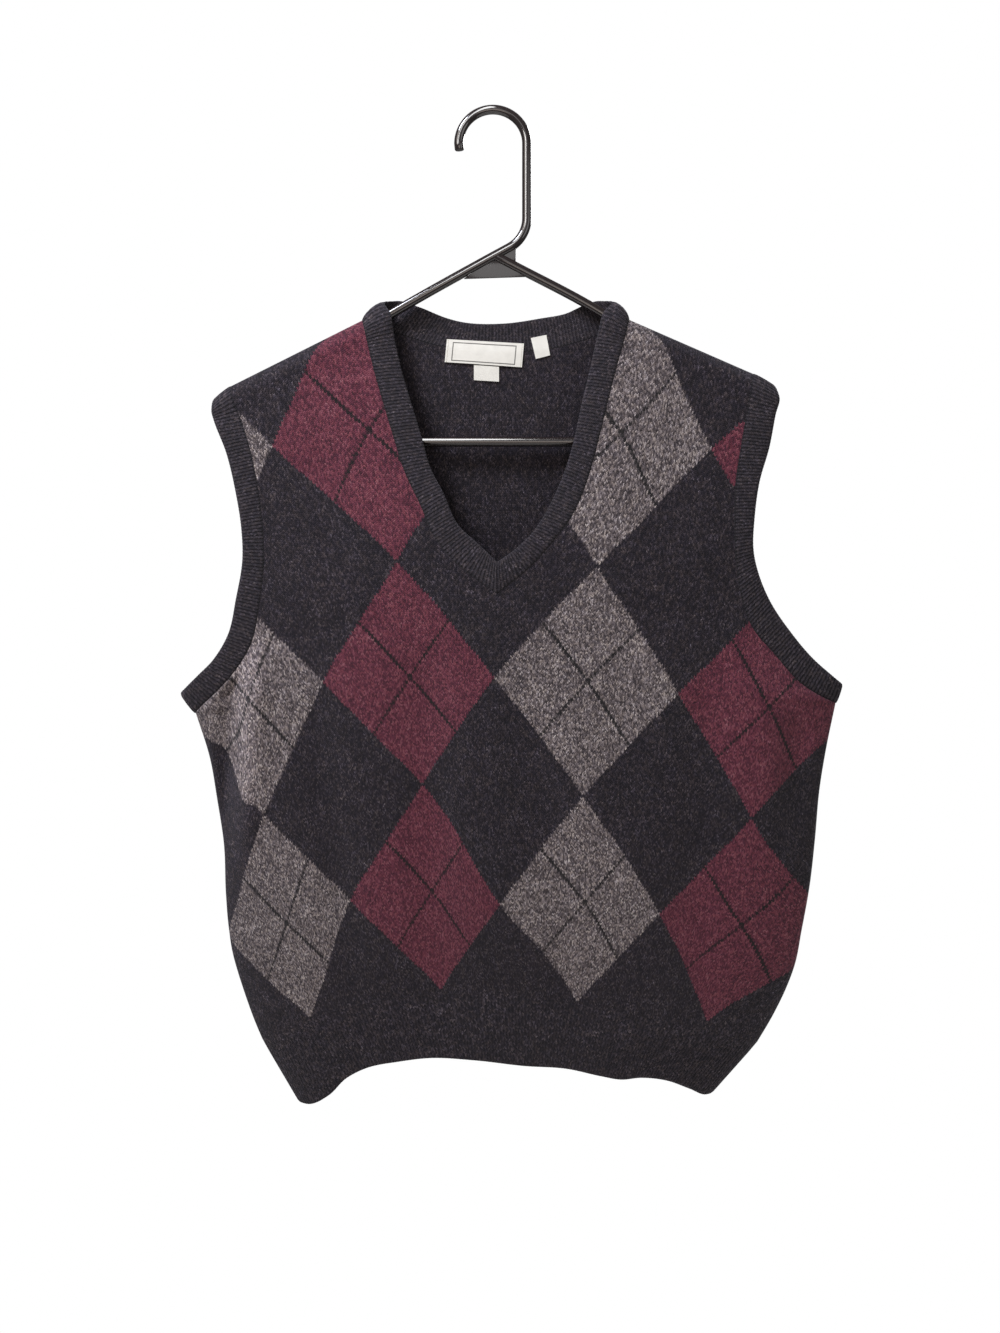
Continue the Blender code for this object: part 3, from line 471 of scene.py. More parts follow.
def knit_wall(name, points, faces, chart, outward, facings=(), thickness=CLOTH, soft=None, fields=(), turn=0):
    """A closed wall of cloth with its chart. `points` are its outside, and `soft` thins it at a folded edge.

    fields gives attributes of the outside's points, which are zero on the inside. In a ring, turn is the
    number of wales all the way round, so that the chart runs on to the end in the cells that close it.
    """
    normals = point_normals(points, faces)
    if np.dot(normals[0], outward) < 0:
        normals, faces = -normals, faces[:, ::-1]
    for index, facing in dict(facings).items():
        normals[index] = facing
    on_seam = np.abs(points[:, 1]) <= SIDE_GAP + 0.01
    normals[on_seam, 1] = 0.0
    normals /= np.linalg.norm(normals, axis=1)[:, None]
    thin = np.zeros(len(points)) if soft is None else soft
    outside = points - normals * thin[:, None]
    inside = points - normals * (thickness - thin)[:, None]
    count = len(points)
    edges = np.concatenate([faces[:, [k, (k + 1) % 4]] for k in range(4)])
    there = set(map(tuple, edges))
    rim = np.array([edge for edge in map(tuple, edges) if edge[::-1] not in there])
    sides = np.stack([rim[:, 1], rim[:, 0], rim[:, 0] + count, rim[:, 1] + count], axis=1)
    every = np.concatenate([faces, faces[:, ::-1] + count, sides])
    mesh = bpy.data.meshes.new(name)
    mesh.from_pydata((np.concatenate([outside, inside]) * MM).tolist(), [], every.tolist(), shade_flat=False)
    corners = np.concatenate([chart, chart])[every]
    wales = corners[:, :, 0]
    closing = np.ptp(wales, axis=1) > turn / 2 if turn else np.zeros(len(every), bool)
    wales += np.where(closing[:, None] & (wales < turn / 2), turn, 0)
    mesh.uv_layers.new(name="chart").data.foreach_set("uv", corners.astype(np.float32).reshape(-1))
    for field, values in dict(fields).items():
        padded = np.concatenate([values, np.zeros(count)]).astype(np.float32)
        mesh.attributes.new(field, "FLOAT", "POINT").data.foreach_set("value", padded)
    # The cut edge is shaded on its own, so that two pieces sewn together look like one cloth across the seam.
    cut = rim[thin[rim].max(axis=1) < FOLDED_EDGE]
    cut = np.sort(np.concatenate([cut, cut + count]), axis=1)
    ends = np.empty(2 * len(mesh.edges), np.int32)
    mesh.edges.foreach_get("vertices", ends)
    ends = np.sort(ends.reshape(-1, 2), axis=1)
    sharp = np.isin(ends @ (2 * count, 1), cut @ (2 * count, 1))
    mesh.attributes.new("sharp_edge", "BOOLEAN", "EDGE").data.foreach_set("value", sharp)
    return placed(name, mesh), normals


def panel(name, halves, split_rows, columns, folds, charted, outward):
    """Both halves of a panel as one wall. The neck parts them above split_rows, and they meet below it.

    Returns the piece, and its last row's points and normals, from left to right.
    """
    spread = np.sin(np.pi / 2 * np.arange(columns + 1) / columns)
    points, index, facings = [], np.zeros((2, len(halves[0]), columns + 1), int), {}
    count = 0
    for side, rows in enumerate(halves):
        for i, row in enumerate(rows):
            line = row.points(spread)
            from_side, from_seam = np.abs(line[:, 1]), np.linalg.norm(line - line[-1], axis=1)
            sunk = fold_depth(line, folds) * smooth_step(from_side / FOLD_TO_SIDE)
            sunk *= smooth_step(from_seam / FOLD_TO_SEAM)
            line[1:-1, 1] -= math.copysign(1, outward[1]) * sunk[1:-1]
            shared = side == 1 and i >= split_rows
            if shared:
                line = line[1:]
                index[1, i, 0] = index[0, i, 0]
            first = 1 if shared else 0
            index[side, i, first:] = count + np.arange(len(line))
            if row.inner_facing is not None:
                facings[count] = row.inner_facing
            count += len(line)
            if row.outer_facing is not None:
                facings[count - 1] = row.outer_facing
            points.append(line)
    points = np.concatenate(points)
    quads = np.stack([index[:, :-1, :-1], index[:, 1:, :-1], index[:, 1:, 1:], index[:, :-1, 1:]], axis=-1)
    faces = np.concatenate([quads[0].reshape(-1, 4), quads[1].reshape(-1, 4)[:, ::-1]])
    # A painted highlight lies on the left flank of each deep ridge, where it faces the window lamp.
    ridges = [fold for fold in folds if fold[5] < -HIGHLIT_RIDGE_DEPTH]
    ridge_highlight = np.clip(fold_depth(points, ridges, -HIGHLIGHT_SHIFT) / -HIGHLIT_RIDGE_DEPTH, 0.0, 1.0)
    fields = {"ridge_highlight": ridge_highlight}
    made, normals = knit_wall(name, points, faces, charted(points), outward, facings, fields=fields)
    along = np.concatenate([index[0, -1, ::-1], index[1, -1, 1:]])
    return made, (points[along], normals[along])


def section(steps):
    """Places across a band, closer together at its two edges, and how much the wall thins there."""
    across = (1 - np.cos(np.pi * np.arange(steps + 1) / steps)) / 2
    thin = np.zeros(steps + 1)
    thin[-1], thin[-2], thin[0] = FOLDED_EDGE, BESIDE_EDGE, SEAM_EDGE
    return across, thin


def ribbed_wall(name, stations, across, thin, raised, facings, outward, upside=1, turn=0):
    """A wall of ribbing from its stations, which are lines of points from its seam to its edge.

    The ribs are raised afterwards, by the fields `rib` and `raised`. turn is the number of ribs in a ring.
    """
    lines = np.array(stations)
    rib = np.repeat(np.arange(len(lines)) / STATIONS_PER_RIB, len(across))
    width = np.linalg.norm(lines[:, 0] - lines[:, -1], axis=1)
    down = (width[:, None] * across[None, :]).reshape(-1)
    chart = np.stack([rib, upside * down / COURSE], axis=1)
    faces = grid_faces(len(lines), len(across), turn > 0)
    fields = {"rib": rib, "raised": np.tile(raised, len(lines))}
    soft = np.tile(thin, len(lines))
    points = lines.reshape(-1, 3)
    return knit_wall(name, points, faces, chart, outward, facings, soft=soft, fields=fields, turn=turn)[0]


def ribbed_band(name, band, outward):
    """The band round the neck or an armhole, which rolls outwards between its two edges."""
    across, thin = section(BAND_STEPS)
    steps = len(across)
    ribs = round(band.length / RIB_PITCH)
    count = STATIONS_PER_RIB * ribs
    stations, facings = [], {}
    for k in range(count if band.closed else count + 1):
        at = band.length * k / count
        row, out = band.read(at), band.facing(at)
        if not band.closed and k in (0, count):
            out = out * (0.0, 1.0, 1.0)  # the two ends meet in the mitre at the V
            facings.update({k * steps + j: out for j in range(steps)})
        facings[k * steps] = out
        seam, edge = seam_point(row), edge_point(row)
        stations.append([seam + (edge - seam) * w + out * (row[5] * 4 * w * (1 - w)) for w in across])
    raised = np.minimum(1.0, np.minimum(across, 1 - across) / RIB_RISE + RIB_AT_EDGE)
    turn = ribs if band.closed else 0
    return ribbed_wall(name, stations, across, thin, raised, facings, outward, turn=turn)


def hem_rib(name, top, depth, outward):
    """The ribbed hem of one panel, from the panel's last row down to the hem's edge."""
    edge = top[0]
    across, thin = section(HEM_RIB_STEPS)
    thin[0] = 0.0
    at = np.concatenate([[0.0], np.cumsum(np.linalg.norm(np.diff(edge, axis=0), axis=1))])
    count = STATIONS_PER_RIB * round(at[-1] / RIB_PITCH)
    hem = Track(HEM, HEM)
    low = np.array([hem.read(hem.length * k / HEM_STEPS) for k in range(HEM_STEPS + 1)])
    stations, facings = [], {}
    for k in range(count + 1):
        here = at[-1] * k / count
        upper, facing = (np.array([np.interp(here, at, column) for column in table.T]) for table in top)
        facings[k * len(across)] = facing
        left = upper[0] < CENTRE_X
        half_top = CENTRE_X - edge[0][0] if left else edge[-1][0] - CENTRE_X
        half_hem = HEM_CENTRE_X - HEM[0][0] if left else HEM[-1][0] - HEM_CENTRE_X
        reach = (upper[0] - CENTRE_X) / half_top
        lower_x = HEM_CENTRE_X + reach * half_hem
        flat = (1 - min(1.0, abs(reach)) ** SECTION_POWER) ** BODY_ROUND
        lower_y = math.copysign(max(SIDE_GAP, abs(depth) * flat), depth)
        lower = np.array((lower_x, lower_y, np.interp(lower_x, low[:, 0], low[:, 1])))
        roll = np.array((0.0, math.copysign(HEM_ROLL * (1 - reach**4), depth), 0.0))
        stations.append([upper + (lower - upper) * w + roll * math.sin(math.pi * w) ** 2 for w in across])
    raised = np.minimum(1.0, np.minimum(across / HEM_RIB_RISE, (1 - across) / HEM_RIB_FALL + RIB_AT_EDGE))
    return ribbed_wall(name, stations, across, thin, raised, facings, outward, upside=-1)


# ------------------------------------------------------------------------------------- knitter's chart


def smooth_grid(table, down, across):
    """Reads a table of numbers between its rows and columns, as one smooth surface."""
    table = np.array(table)

    def weights(t):
        return np.stack(
            [
                -0.5 * t + t**2 - 0.5 * t**3,
                1 - 2.5 * t**2 + 1.5 * t**3,
                0.5 * t + 2 * t**2 - 1.5 * t**3,
                -0.5 * t**2 + 0.5 * t**3,
            ]
        )

    padded = np.pad(table, 1, mode="reflect", reflect_type="odd")
    i = np.clip(np.floor(down).astype(int), 0, table.shape[0] - 2)
    j = np.clip(np.floor(across).astype(int), 0, table.shape[1] - 2)
    rows, columns = weights(down - i), weights(across - j)
    total = np.zeros(len(down))
    for a in range(4):
        for b in range(4):
            total += rows[a] * columns[b] * padded[i + a, j + b]
    return total


def unrolled_height(points):
    """The heights of points as they lie on the flat cloth, which turns over at the shoulders."""
    over = np.maximum(0.0, SHOULDER_TURN - np.abs(points[:, 1]))
    return points[:, 2] + np.where(points[:, 2] > SHOULDERS_END, over, 0.0)


def argyle_corner(down, across):
    """Where a place on the argyle's lattice lies on the cloth, as its x and z."""
    return np.stack([smooth_grid(ARGYLE_X, down, across), smooth_grid(ARGYLE_Z, down, across)])


def argyle_chart(points):
    """The chart of the front: finds where each point lies between the argyle's corners."""
    x, z = points[:, 0], unrolled_height(points)
    for tuck_x, tuck_z, half_width, half_height, lift in TUCKS:
        beside, above = (x - tuck_x) / half_width, (points[:, 2] - tuck_z) / half_height
        z -= lift * np.exp(-(beside**2) - above**4)
    target = np.stack([x, z])
    across, down = (x - CENTRE_X) / UNIT_WIDTH - ARGYLE_LEFT, (-z - ARGYLE_START) / UNIT_HEIGHT
    rounds, step, longest = 14, 0.01, 0.5
    for _ in range(rounds):
        miss = argyle_corner(down, across) - target
        a = (argyle_corner(down, across + step) - target - miss) / step
        d = (argyle_corner(down + step, across) - target - miss) / step
        size = a[0] * d[1] - d[0] * a[1]
        across = across - np.clip((miss[0] * d[1] - miss[1] * d[0]) / size, -longest, longest)
        down = down - np.clip((miss[1] * a[0] - miss[0] * a[1]) / size, -longest, longest)
    wales, courses = (across + ARGYLE_LEFT) * WALES_PER_UNIT, -(down + ARGYLE_TOP) * COURSES_PER_UNIT
    return np.stack([wales, courses], axis=1)


def plain_chart(points):
    """The chart of the back, which follows the cloth round the sides of the body."""
    beyond = np.maximum(0.0, SIDE_TURN - np.abs(points[:, 1]))
    beyond *= smooth_step((SIDES_START - points[:, 2]) / SIDES_BLEND) * np.sign(points[:, 0])
    return np.stack([(points[:, 0] + beyond) / WALE, unrolled_height(points) / COURSE], axis=1)



# ------------------------------------------------------------------------------------------ materials

MATH, VECTOR_MATH, MIX = "ShaderNodeMath", "ShaderNodeVectorMath", "ShaderNodeMix"
NOISE, RAMP, BUMP = "ShaderNodeTexNoise", "ShaderNodeValToRGB", "ShaderNodeBump"
SPLIT, JOIN = "ShaderNodeSeparateXYZ", "ShaderNodeCombineXYZ"


def linear(colour):
    """An sRGB hex colour as the linear colour that a shader takes."""
    channels = [int(colour[k : k + 2], 16) / 255 for k in (1, 3, 5)]
    return tuple(c / 12.92 if c <= 0.04045 else ((c + 0.055) / 1.055) ** 2.4 for c in channels) + (1.0,)


def fill(node, inputs):
    """Sets a node's inputs to values, or links them to sockets or to another node's first output.

    The inputs are given by name, or else in the order of those that the node shows with its settings.
    """
    if isinstance(inputs, dict):
        pairs = [(node.inputs[name], value) for name, value in inputs.items()]
    else:
        pairs = zip([socket for socket in node.inputs if socket.enabled], inputs)
    for socket, value in pairs:
        if isinstance(value, bpy.types.Node):
            value = next(output for output in value.outputs if output.enabled)
        if isinstance(value, bpy.types.NodeSocket):
            node.id_data.links.new(value, socket)
        else:
            socket.default_value = value


def add(tree, kind, inputs=(), **settings):
    """A node with its settings and links."""
    node = tree.nodes.new(kind)
    for setting, value in settings.items():
        setattr(node, setting, value)
    fill(node, inputs)
    return node


def with_stops(ramp, stops):
    """Gives a colour ramp its places and their colours."""
    elements = ramp.color_ramp.elements
    while len(elements) < len(stops):
        elements.new(0.5)
    for element, (place, colour) in zip(elements, stops):
        element.position, element.color = place, linear(colour)
    return ramp


def new_material(name):
    """A material with its node tree and its shader."""
    made = bpy.data.materials.new(name)
    made.use_nodes = True
    return made, made.node_tree, made.node_tree.nodes["Principled BSDF"]


# Woollen yarn spun from fleece that was dyed in several shades before it was mixed: from the darkest fibres
# to the few palest ones, and how strongly bluish and brownish fibres tint it.
CHARCOAL_YARN = {
    "places": (0.0, 0.3, 0.6, 0.82, 0.95, 1.0),
    "shades": ("#0f0d10", "#19161a", "#272327", "#39353a", "#514d53", "#7c797f"),
    "tint": 0.55,
}
BURGUNDY_YARN = {
    "places": (0.0, 0.3, 0.62, 0.84, 0.94, 1.0),
    "shades": ("#31161e", "#4b232e", "#64303d", "#77424d", "#83525b", "#936d73"),
    "tint": 0.3,
}
GREY_YARN = {
    "places": (0.0, 0.25, 0.5, 0.75, 0.92, 1.0),
    "shades": ("#242122", "#403a3a", "#5e5757", "#837b7a", "#aea8a6", "#d0ccc8"),
    "tint": 0.25,
}
COOL_FIBRES, WARM_FIBRES = "#b4b0d6", "#cfbaa8"
# What a leg's shade is made of: its own draw, its fibres, the yarn's slubs, and where their sum starts.
LEG_SHARE, FIBRE_SHARE, SLUB_SHARE, SHADE_START = 0.74, 0.6, 0.32, -0.31
FIBRE_LAY = (2.6, 1.6, 1.0)  # from wales and courses to clumps of fibres, which are about 0.8 mm long
SLANT = 0.75  # how many courses a stitch's leg rises from the middle of its wale to its side
LEG_SIDE = 0.4  # how high the leg still is at its sides
SHADED_SEAM_REACH = 0.8  # how far the painted shade along a band's seam reaches into the band, in courses
RIDGE_HIGHLIGHT_GAIN, FLUFF = 0.5, 0.5  # how much brighter the painted highlight on a ridge makes it, and how much the fluff stands up
# The overcheck's lines: half their width in stitches, and how much they cover of what is under them.
SOLID_HALF, BROKEN_HALF = 0.68, 0.6
SOLID_COVER, DASH_COVER, GAP_COVER = 0.88, 0.94, 0.7


def marled(tree, knit, yarn, seed):
    """The colour of one leg of one stitch: a shade of the yarn's own, with its fibres and slubs showing."""
    shade = add(tree, "ShaderNodeTexWhiteNoise", (knit.leg, seed), noise_dimensions="4D")
    fine = {"Vector": knit.fibre, "Scale": 1.0, "Detail": 2.0, "Roughness": 0.6, "W": seed}
    strands = add(tree, NOISE, fine, noise_dimensions="4D")
    broad = {"Vector": knit.fibre, "Scale": 0.07, "Detail": 2.0, "Roughness": 0.55, "W": seed + 20}
    slubs = add(tree, NOISE, broad, noise_dimensions="4D")
    value = add(tree, MATH, (shade, LEG_SHARE, SHADE_START), operation="MULTIPLY_ADD")
    value = add(tree, MATH, (strands, FIBRE_SHARE, value), operation="MULTIPLY_ADD")
    value = add(tree, MATH, (slubs, SLUB_SHARE, value), operation="MULTIPLY_ADD")
    stops = list(zip(yarn["places"], yarn["shades"]))
    colour = with_stops(add(tree, RAMP, (value,)), stops)
    hue = with_stops(add(tree, RAMP, (shade,)), ((0.15, COOL_FIBRES), (0.85, WARM_FIBRES)))
    hues = {"Vector": knit.fibre, "Scale": 0.28, "Detail": 1.0, "W": seed + 40}
    cast = add(tree, NOISE, hues, noise_dimensions="4D")
    cast = with_stops(add(tree, RAMP, (cast,)), ((0.35, COOL_FIBRES), (0.65, WARM_FIBRES)))
    hue = add(tree, MIX, (0.6, hue, cast), data_type="RGBA")
    return add(tree, MIX, (yarn["tint"], colour, hue), data_type="RGBA", blend_type="OVERLAY")


def stitch_places(tree):
    """What the knitted materials read from the chart: the stitch, its leg, and where in it a point is."""
    chart = add(tree, "ShaderNodeUVMap", uv_map="chart")
    apart = add(tree, SPLIT, (chart,))
    wale, course = apart.outputs[0], apart.outputs[1]
    within = add(tree, MATH, (wale,), operation="FRACT")
    off_middle = add(tree, MATH, (within, 2.0, -1.0), operation="MULTIPLY_ADD")
    from_middle = add(tree, MATH, (off_middle,), operation="ABSOLUTE")
    slanted = add(tree, MATH, (from_middle, -SLANT, course), operation="MULTIPLY_ADD")
    row = add(tree, MATH, (slanted,), operation="FLOOR")
    half_wales = add(tree, MATH, (wale, 2.0), operation="MULTIPLY")
    leg = add(tree, JOIN, (add(tree, MATH, (half_wales,), operation="FLOOR"), row))
    fibre = add(tree, VECTOR_MATH, (chart, FIBRE_LAY), operation="MULTIPLY")
    return SimpleNamespace(wale=wale, slanted=slanted, row=row, from_middle=from_middle, leg=leg, fibre=fibre)


def loop_height(tree, knit):
    """How high the yarn stands: each leg of a stitch is a rounded strand, and the wales part between them."""
    up_leg = add(tree, MATH, (knit.slanted,), operation="FRACT")
    up_leg = add(tree, MATH, (up_leg, math.pi), operation="MULTIPLY")
    strand = add(tree, MATH, (up_leg,), operation="SINE")
    over_leg = add(tree, MATH, (knit.from_middle, math.pi), operation="MULTIPLY")
    round_leg = add(tree, MATH, (over_leg,), operation="SINE")
    leg = add(tree, MATH, (round_leg, 1 - LEG_SIDE, LEG_SIDE), operation="MULTIPLY_ADD")
    return add(tree, MATH, (strand, leg), operation="MULTIPLY")


def knitted_finish(tree, shader, knit, colour, relief):
    """Soft woollen yarn: no gloss, a short nap that catches light at the edges, and the stitches' relief.

    relief is how many millimetres the loops stand up.
    """
    height = loop_height(tree, knit)
    # A painted highlight: the colour is brightened on the lit flank of a ridge.
    ridge_highlight = add(tree, "ShaderNodeAttribute", attribute_name="ridge_highlight").outputs["Fac"]
    lit_gain = add(tree, MATH, (ridge_highlight, RIDGE_HIGHLIGHT_GAIN, 1.0), operation="MULTIPLY_ADD")
    bright = add(tree, VECTOR_MATH, (colour, lit_gain), operation="SCALE")
    fluff = add(tree, NOISE, {"Vector": knit.fibre, "Scale": 2.2, "Detail": 3.0, "Roughness": 0.7})
    rough = add(tree, MATH, (fluff, FLUFF, height), operation="MULTIPLY_ADD")
    bump = add(tree, BUMP, {"Height": rough, "Strength": 0.9, "Distance": relief * MM})
    fill(shader, {"Normal": bump, "Base Color": bright, "Roughness": 0.95, "Specular IOR Level": 0.15})
    fill(shader, {"Sheen Weight": 0.16, "Sheen Roughness": 0.6, "Sheen Tint": linear("#c6c6d0")})


def argyle_lambswool():
    """Intarsia jersey in milled lambswool. Its colours step from stitch to stitch at the diamonds' edges."""
    made, tree, shader = new_material("argyle_lambswool_jersey")
    knit = stitch_places(tree)
    # Diamonds' middles lie at even numbers of units from the one left of the centre front.
    across = add(tree, MATH, (knit.wale,), operation="FLOOR")
    across = add(tree, MATH, (across, 0.5), operation="ADD")
    across = add(tree, MATH, (across, 1 / WALES_PER_UNIT, 1.0), operation="MULTIPLY_ADD")
    up = add(tree, MATH, (knit.row, 0.5), operation="ADD")
    up = add(tree, MATH, (up, 1 / COURSES_PER_UNIT), operation="MULTIPLY")
    side = add(tree, MATH, (across, 1.0), operation="PINGPONG")
    rise = add(tree, MATH, (up, 1.0), operation="PINGPONG")
    in_diamond = add(tree, MATH, (add(tree, MATH, (side, rise), operation="ADD"), 1.0), operation="LESS_THAN")
    above_end = add(tree, MATH, (up, -float(ARGYLE_END)), operation="GREATER_THAN")
    in_diamond = add(tree, MATH, (in_diamond, above_end), operation="MULTIPLY")
    pair = add(tree, MATH, (across, 0.5), operation="MULTIPLY")
    diamond_column = add(tree, MATH, (pair,), operation="ROUND")
    odd = add(tree, MATH, (diamond_column, 1.0), operation="PINGPONG")
    in_grey = add(tree, MATH, (odd, 0.5), operation="GREATER_THAN")
    # The overcheck falls to the right in solid two-stitch steps, and to the left in thinner broken ones.
    quarters = []
    for way in (across, up):
        shifted = add(tree, MATH, (way, 1.0), operation="ADD")
        wrapped = add(tree, MATH, (shifted, 2.0), operation="FLOORED_MODULO")
        quarters.append(add(tree, MATH, (wrapped, 1.0), operation="SUBTRACT"))
    solid = add(tree, MATH, (add(tree, MATH, quarters, operation="MULTIPLY"), 0.0), operation="LESS_THAN")
    off_line = add(tree, MATH, (add(tree, MATH, (side, rise), operation="SUBTRACT"),), operation="ABSOLUTE")
    widths = ((SOLID_HALF - BROKEN_HALF) / WALES_PER_UNIT, BROKEN_HALF / WALES_PER_UNIT)
    half_width = add(tree, MATH, (solid, *widths), operation="MULTIPLY_ADD")
    on_line = add(tree, MATH, (off_line, half_width), operation="LESS_THAN")
    in_step = add(tree, MATH, (knit.row, 1 / 4), operation="MULTIPLY")
    in_step = add(tree, MATH, (in_step,), operation="FRACT")
    dash = add(tree, MATH, (in_step, 0.5), operation="LESS_THAN")
    dash = add(tree, MATH, (dash, DASH_COVER - GAP_COVER, GAP_COVER), operation="MULTIPLY_ADD")
    solid_line = add(tree, MATH, (solid, SOLID_COVER), operation="MULTIPLY")
    cover = add(tree, MATH, (dash, solid_line), operation="MAXIMUM")
    on_line = add(tree, MATH, (on_line, cover), operation="MULTIPLY")
    charcoal = marled(tree, knit, CHARCOAL_YARN, 1.0)
    grey = marled(tree, knit, GREY_YARN, 2.0)
    burgundy = marled(tree, knit, BURGUNDY_YARN, 3.0)
    diamond = add(tree, MIX, (in_grey, burgundy, grey), data_type="RGBA")
    diamond = add(tree, MIX, (on_line, diamond, linear("#161515")), data_type="RGBA")
    colour = add(tree, MIX, (in_diamond, charcoal, diamond), data_type="RGBA")
    knitted_finish(tree, shader, knit, colour, 0.5)
    return made


def plain_lambswool():
    """The same jersey in charcoal alone."""
    made, tree, shader = new_material("charcoal_lambswool_jersey")
    knit = stitch_places(tree)
    knitted_finish(tree, shader, knit, marled(tree, knit, CHARCOAL_YARN, 1.0), 0.5)
    return made


def ribbed_lambswool(name, painted_furrow_shade, painted_crown_highlight, painted_seam_shade):
    """One-by-one rib in charcoal, with painted shade in its furrows and a painted highlight on its raised
    wales.

    The hem's rib is pulled wide, so that its furrows lie open and show less. A band has a line of painted
    shade along the seam to its panel; the hem has none.
    """
    made, tree, shader = new_material(name)
    knit = stitch_places(tree)
    colour = marled(tree, knit, CHARCOAL_YARN, 4.0)
    furrow = add(tree, MATH, (knit.from_middle, 2.0), operation="POWER")
    to_middle = add(tree, MATH, (1.0, knit.from_middle), operation="SUBTRACT")
    crown = add(tree, MATH, (to_middle, 2.0), operation="POWER")
    shaded_seam_row = add(tree, MATH, (knit.slanted, SHADED_SEAM_REACH), operation="LESS_THAN")
    # The furrows and the seam line get painted shade, the crowns a painted highlight.
    dark, pale = linear("#0c0b0c"), linear("#7d7a80")
    tones = (furrow, painted_furrow_shade, dark), (crown, painted_crown_highlight, pale), (shaded_seam_row, painted_seam_shade, dark)
    for place, share, tone in tones:
        there = add(tree, MATH, (place, share), operation="MULTIPLY")
        colour = add(tree, MIX, (there, colour, tone), data_type="RGBA")
    knitted_finish(tree, shader, knit, colour, 0.45)
    return made


def black_polystyrene():
    """Injection-moulded high-impact polystyrene: glossy black with faint flow waves and handling scuffs.

    The waves are about 11 mm long, and the scuffs about 1.4 mm.
    """
    made, tree, shader = new_material("glossy_black_polystyrene")
    place = add(tree, "ShaderNodeTexCoord").outputs["Object"]
    waves = add(tree, NOISE, {"Vector": place, "Scale": 90.0, "Detail": 1.0})
    scuffs = add(tree, NOISE, {"Vector": place, "Scale": 700.0, "Detail": 4.0, "Roughness": 0.7})
    scuffed = add(tree, MATH, (scuffs, 3.0), operation="POWER")
    gloss, duller = 0.07, 0.22
    rough = add(tree, MATH, (scuffed, duller, gloss), operation="MULTIPLY_ADD")
    bump = add(tree, BUMP, {"Height": waves, "Strength": 0.05, "Distance": 0.3 * MM})
    tint = add(tree, MIX, (scuffs, linear("#0f0b0b"), linear("#221a1a")), data_type="RGBA")
    fill(shader, {"Roughness": rough, "Normal": bump, "Base Color": tint})
    fill(shader, {"IOR": 1.59, "Specular IOR Level": 0.7})
    return made


def woven_tape(name, border):
    """Damask label tape: cream satin of fine polyester, with a plain woven border line where it has one.

    border gives the line's box: from left to right and from bottom to top, in millimetres.
    """
    made, tree, shader = new_material(name)
    chart = add(tree, "ShaderNodeUVMap", uv_map="chart")
    apart = add(tree, SPLIT, (chart,))
    # A label's chart is in millimetres. Its threads are 0.25 mm apart, drawn 0.5 mm apart so that they show.
    apart_by, shadow = 0.5, 0.04
    threads = []
    for axis in range(2):
        turns = add(tree, MATH, (apart.outputs[axis], 2 * math.pi / apart_by), operation="MULTIPLY")
        threads.append(add(tree, MATH, (turns,), operation="SINE"))
    weave = add(tree, MATH, threads, operation="MULTIPLY")
    soil = add(tree, NOISE, {"Vector": chart, "Scale": 0.12, "Detail": 3.0})
    colour = with_stops(add(tree, RAMP, (soil,)), ((0.3, "#dcdad2"), (0.7, "#e6e4dc")))
    shaded = add(tree, MATH, (weave, shadow, shadow), operation="MULTIPLY_ADD")
    colour = add(tree, MIX, (shaded, colour, linear("#b9b3a2")), data_type="RGBA")
    if border:
        beyond = []
        for axis, (low, high) in enumerate(border):
            off = add(tree, MATH, (apart.outputs[axis], (low + high) / 2), operation="SUBTRACT")
            off = add(tree, MATH, (off,), operation="ABSOLUTE")
            beyond.append(add(tree, MATH, (off, (high - low) / 2), operation="SUBTRACT"))
        outside = add(tree, MATH, beyond, operation="MAXIMUM")
        from_line = add(tree, MATH, (outside,), operation="ABSOLUTE")
        line = add(tree, MATH, (from_line, BORDER_HALF), operation="LESS_THAN")
        line = add(tree, MATH, (line, BORDER_COVER), operation="MULTIPLY")
        colour = add(tree, MIX, (line, colour, linear("#2b2926")), data_type="RGBA")
    bump = add(tree, BUMP, {"Height": weave, "Strength": 0.3, "Distance": 0.08 * MM})
    fill(shader, {"Normal": bump, "Base Color": colour, "Roughness": 0.55, "Sheen Weight": 0.1})
    return made


def sewing_thread():
    """Spun polyester thread: two plies twisted together, with a dull gleam on each turn."""
    made, tree, shader = new_material("spun_polyester_thread")
    place = add(tree, "ShaderNodeTexCoord").outputs["Object"]
    # The plies turn every 0.9 mm, drawn at that size.
    plies = {"Vector": place, "Scale": 1 / (0.9 * MM), "Distortion": 1.5, "Detail": 1.0}
    twist = add(tree, "ShaderNodeTexWave", plies, bands_direction="DIAGONAL").outputs["Fac"]
    colour = with_stops(add(tree, RAMP, (twist,)), ((0.1, "#bdb8a8"), (0.9, "#e4e1d6")))
    bump = add(tree, BUMP, {"Height": twist, "Strength": 0.5, "Distance": 0.1 * MM})
    fill(shader, {"Normal": bump, "Base Color": colour, "Roughness": 0.5, "Sheen Weight": 0.1})
    return made


# ------------------------------------------------------------------------------------- geometry nodes


def node_group(name, inputs):
    """An empty geometry tree with a Geometry socket each way and the named inputs."""
    tree = bpy.data.node_groups.new(name, "GeometryNodeTree")
    tree.interface.new_socket("Geometry", in_out="INPUT", socket_type="NodeSocketGeometry")
    tree.interface.new_socket("Geometry", in_out="OUTPUT", socket_type="NodeSocketGeometry")
    for label, kind in inputs:
        tree.interface.new_socket(label, in_out="INPUT", socket_type=kind)
    return tree, add(tree, "NodeGroupInput").outputs


def finished(tree, geometry, surface):
    """Ends a tree with its result as real geometry in its material."""
    real = add(tree, "GeometryNodeRealizeInstances", {"Geometry": geometry})
    given = add(tree, "GeometryNodeSetMaterial", {"Geometry": real, "Material": surface})
    add(tree, "NodeGroupOutput", (given,))
    return tree


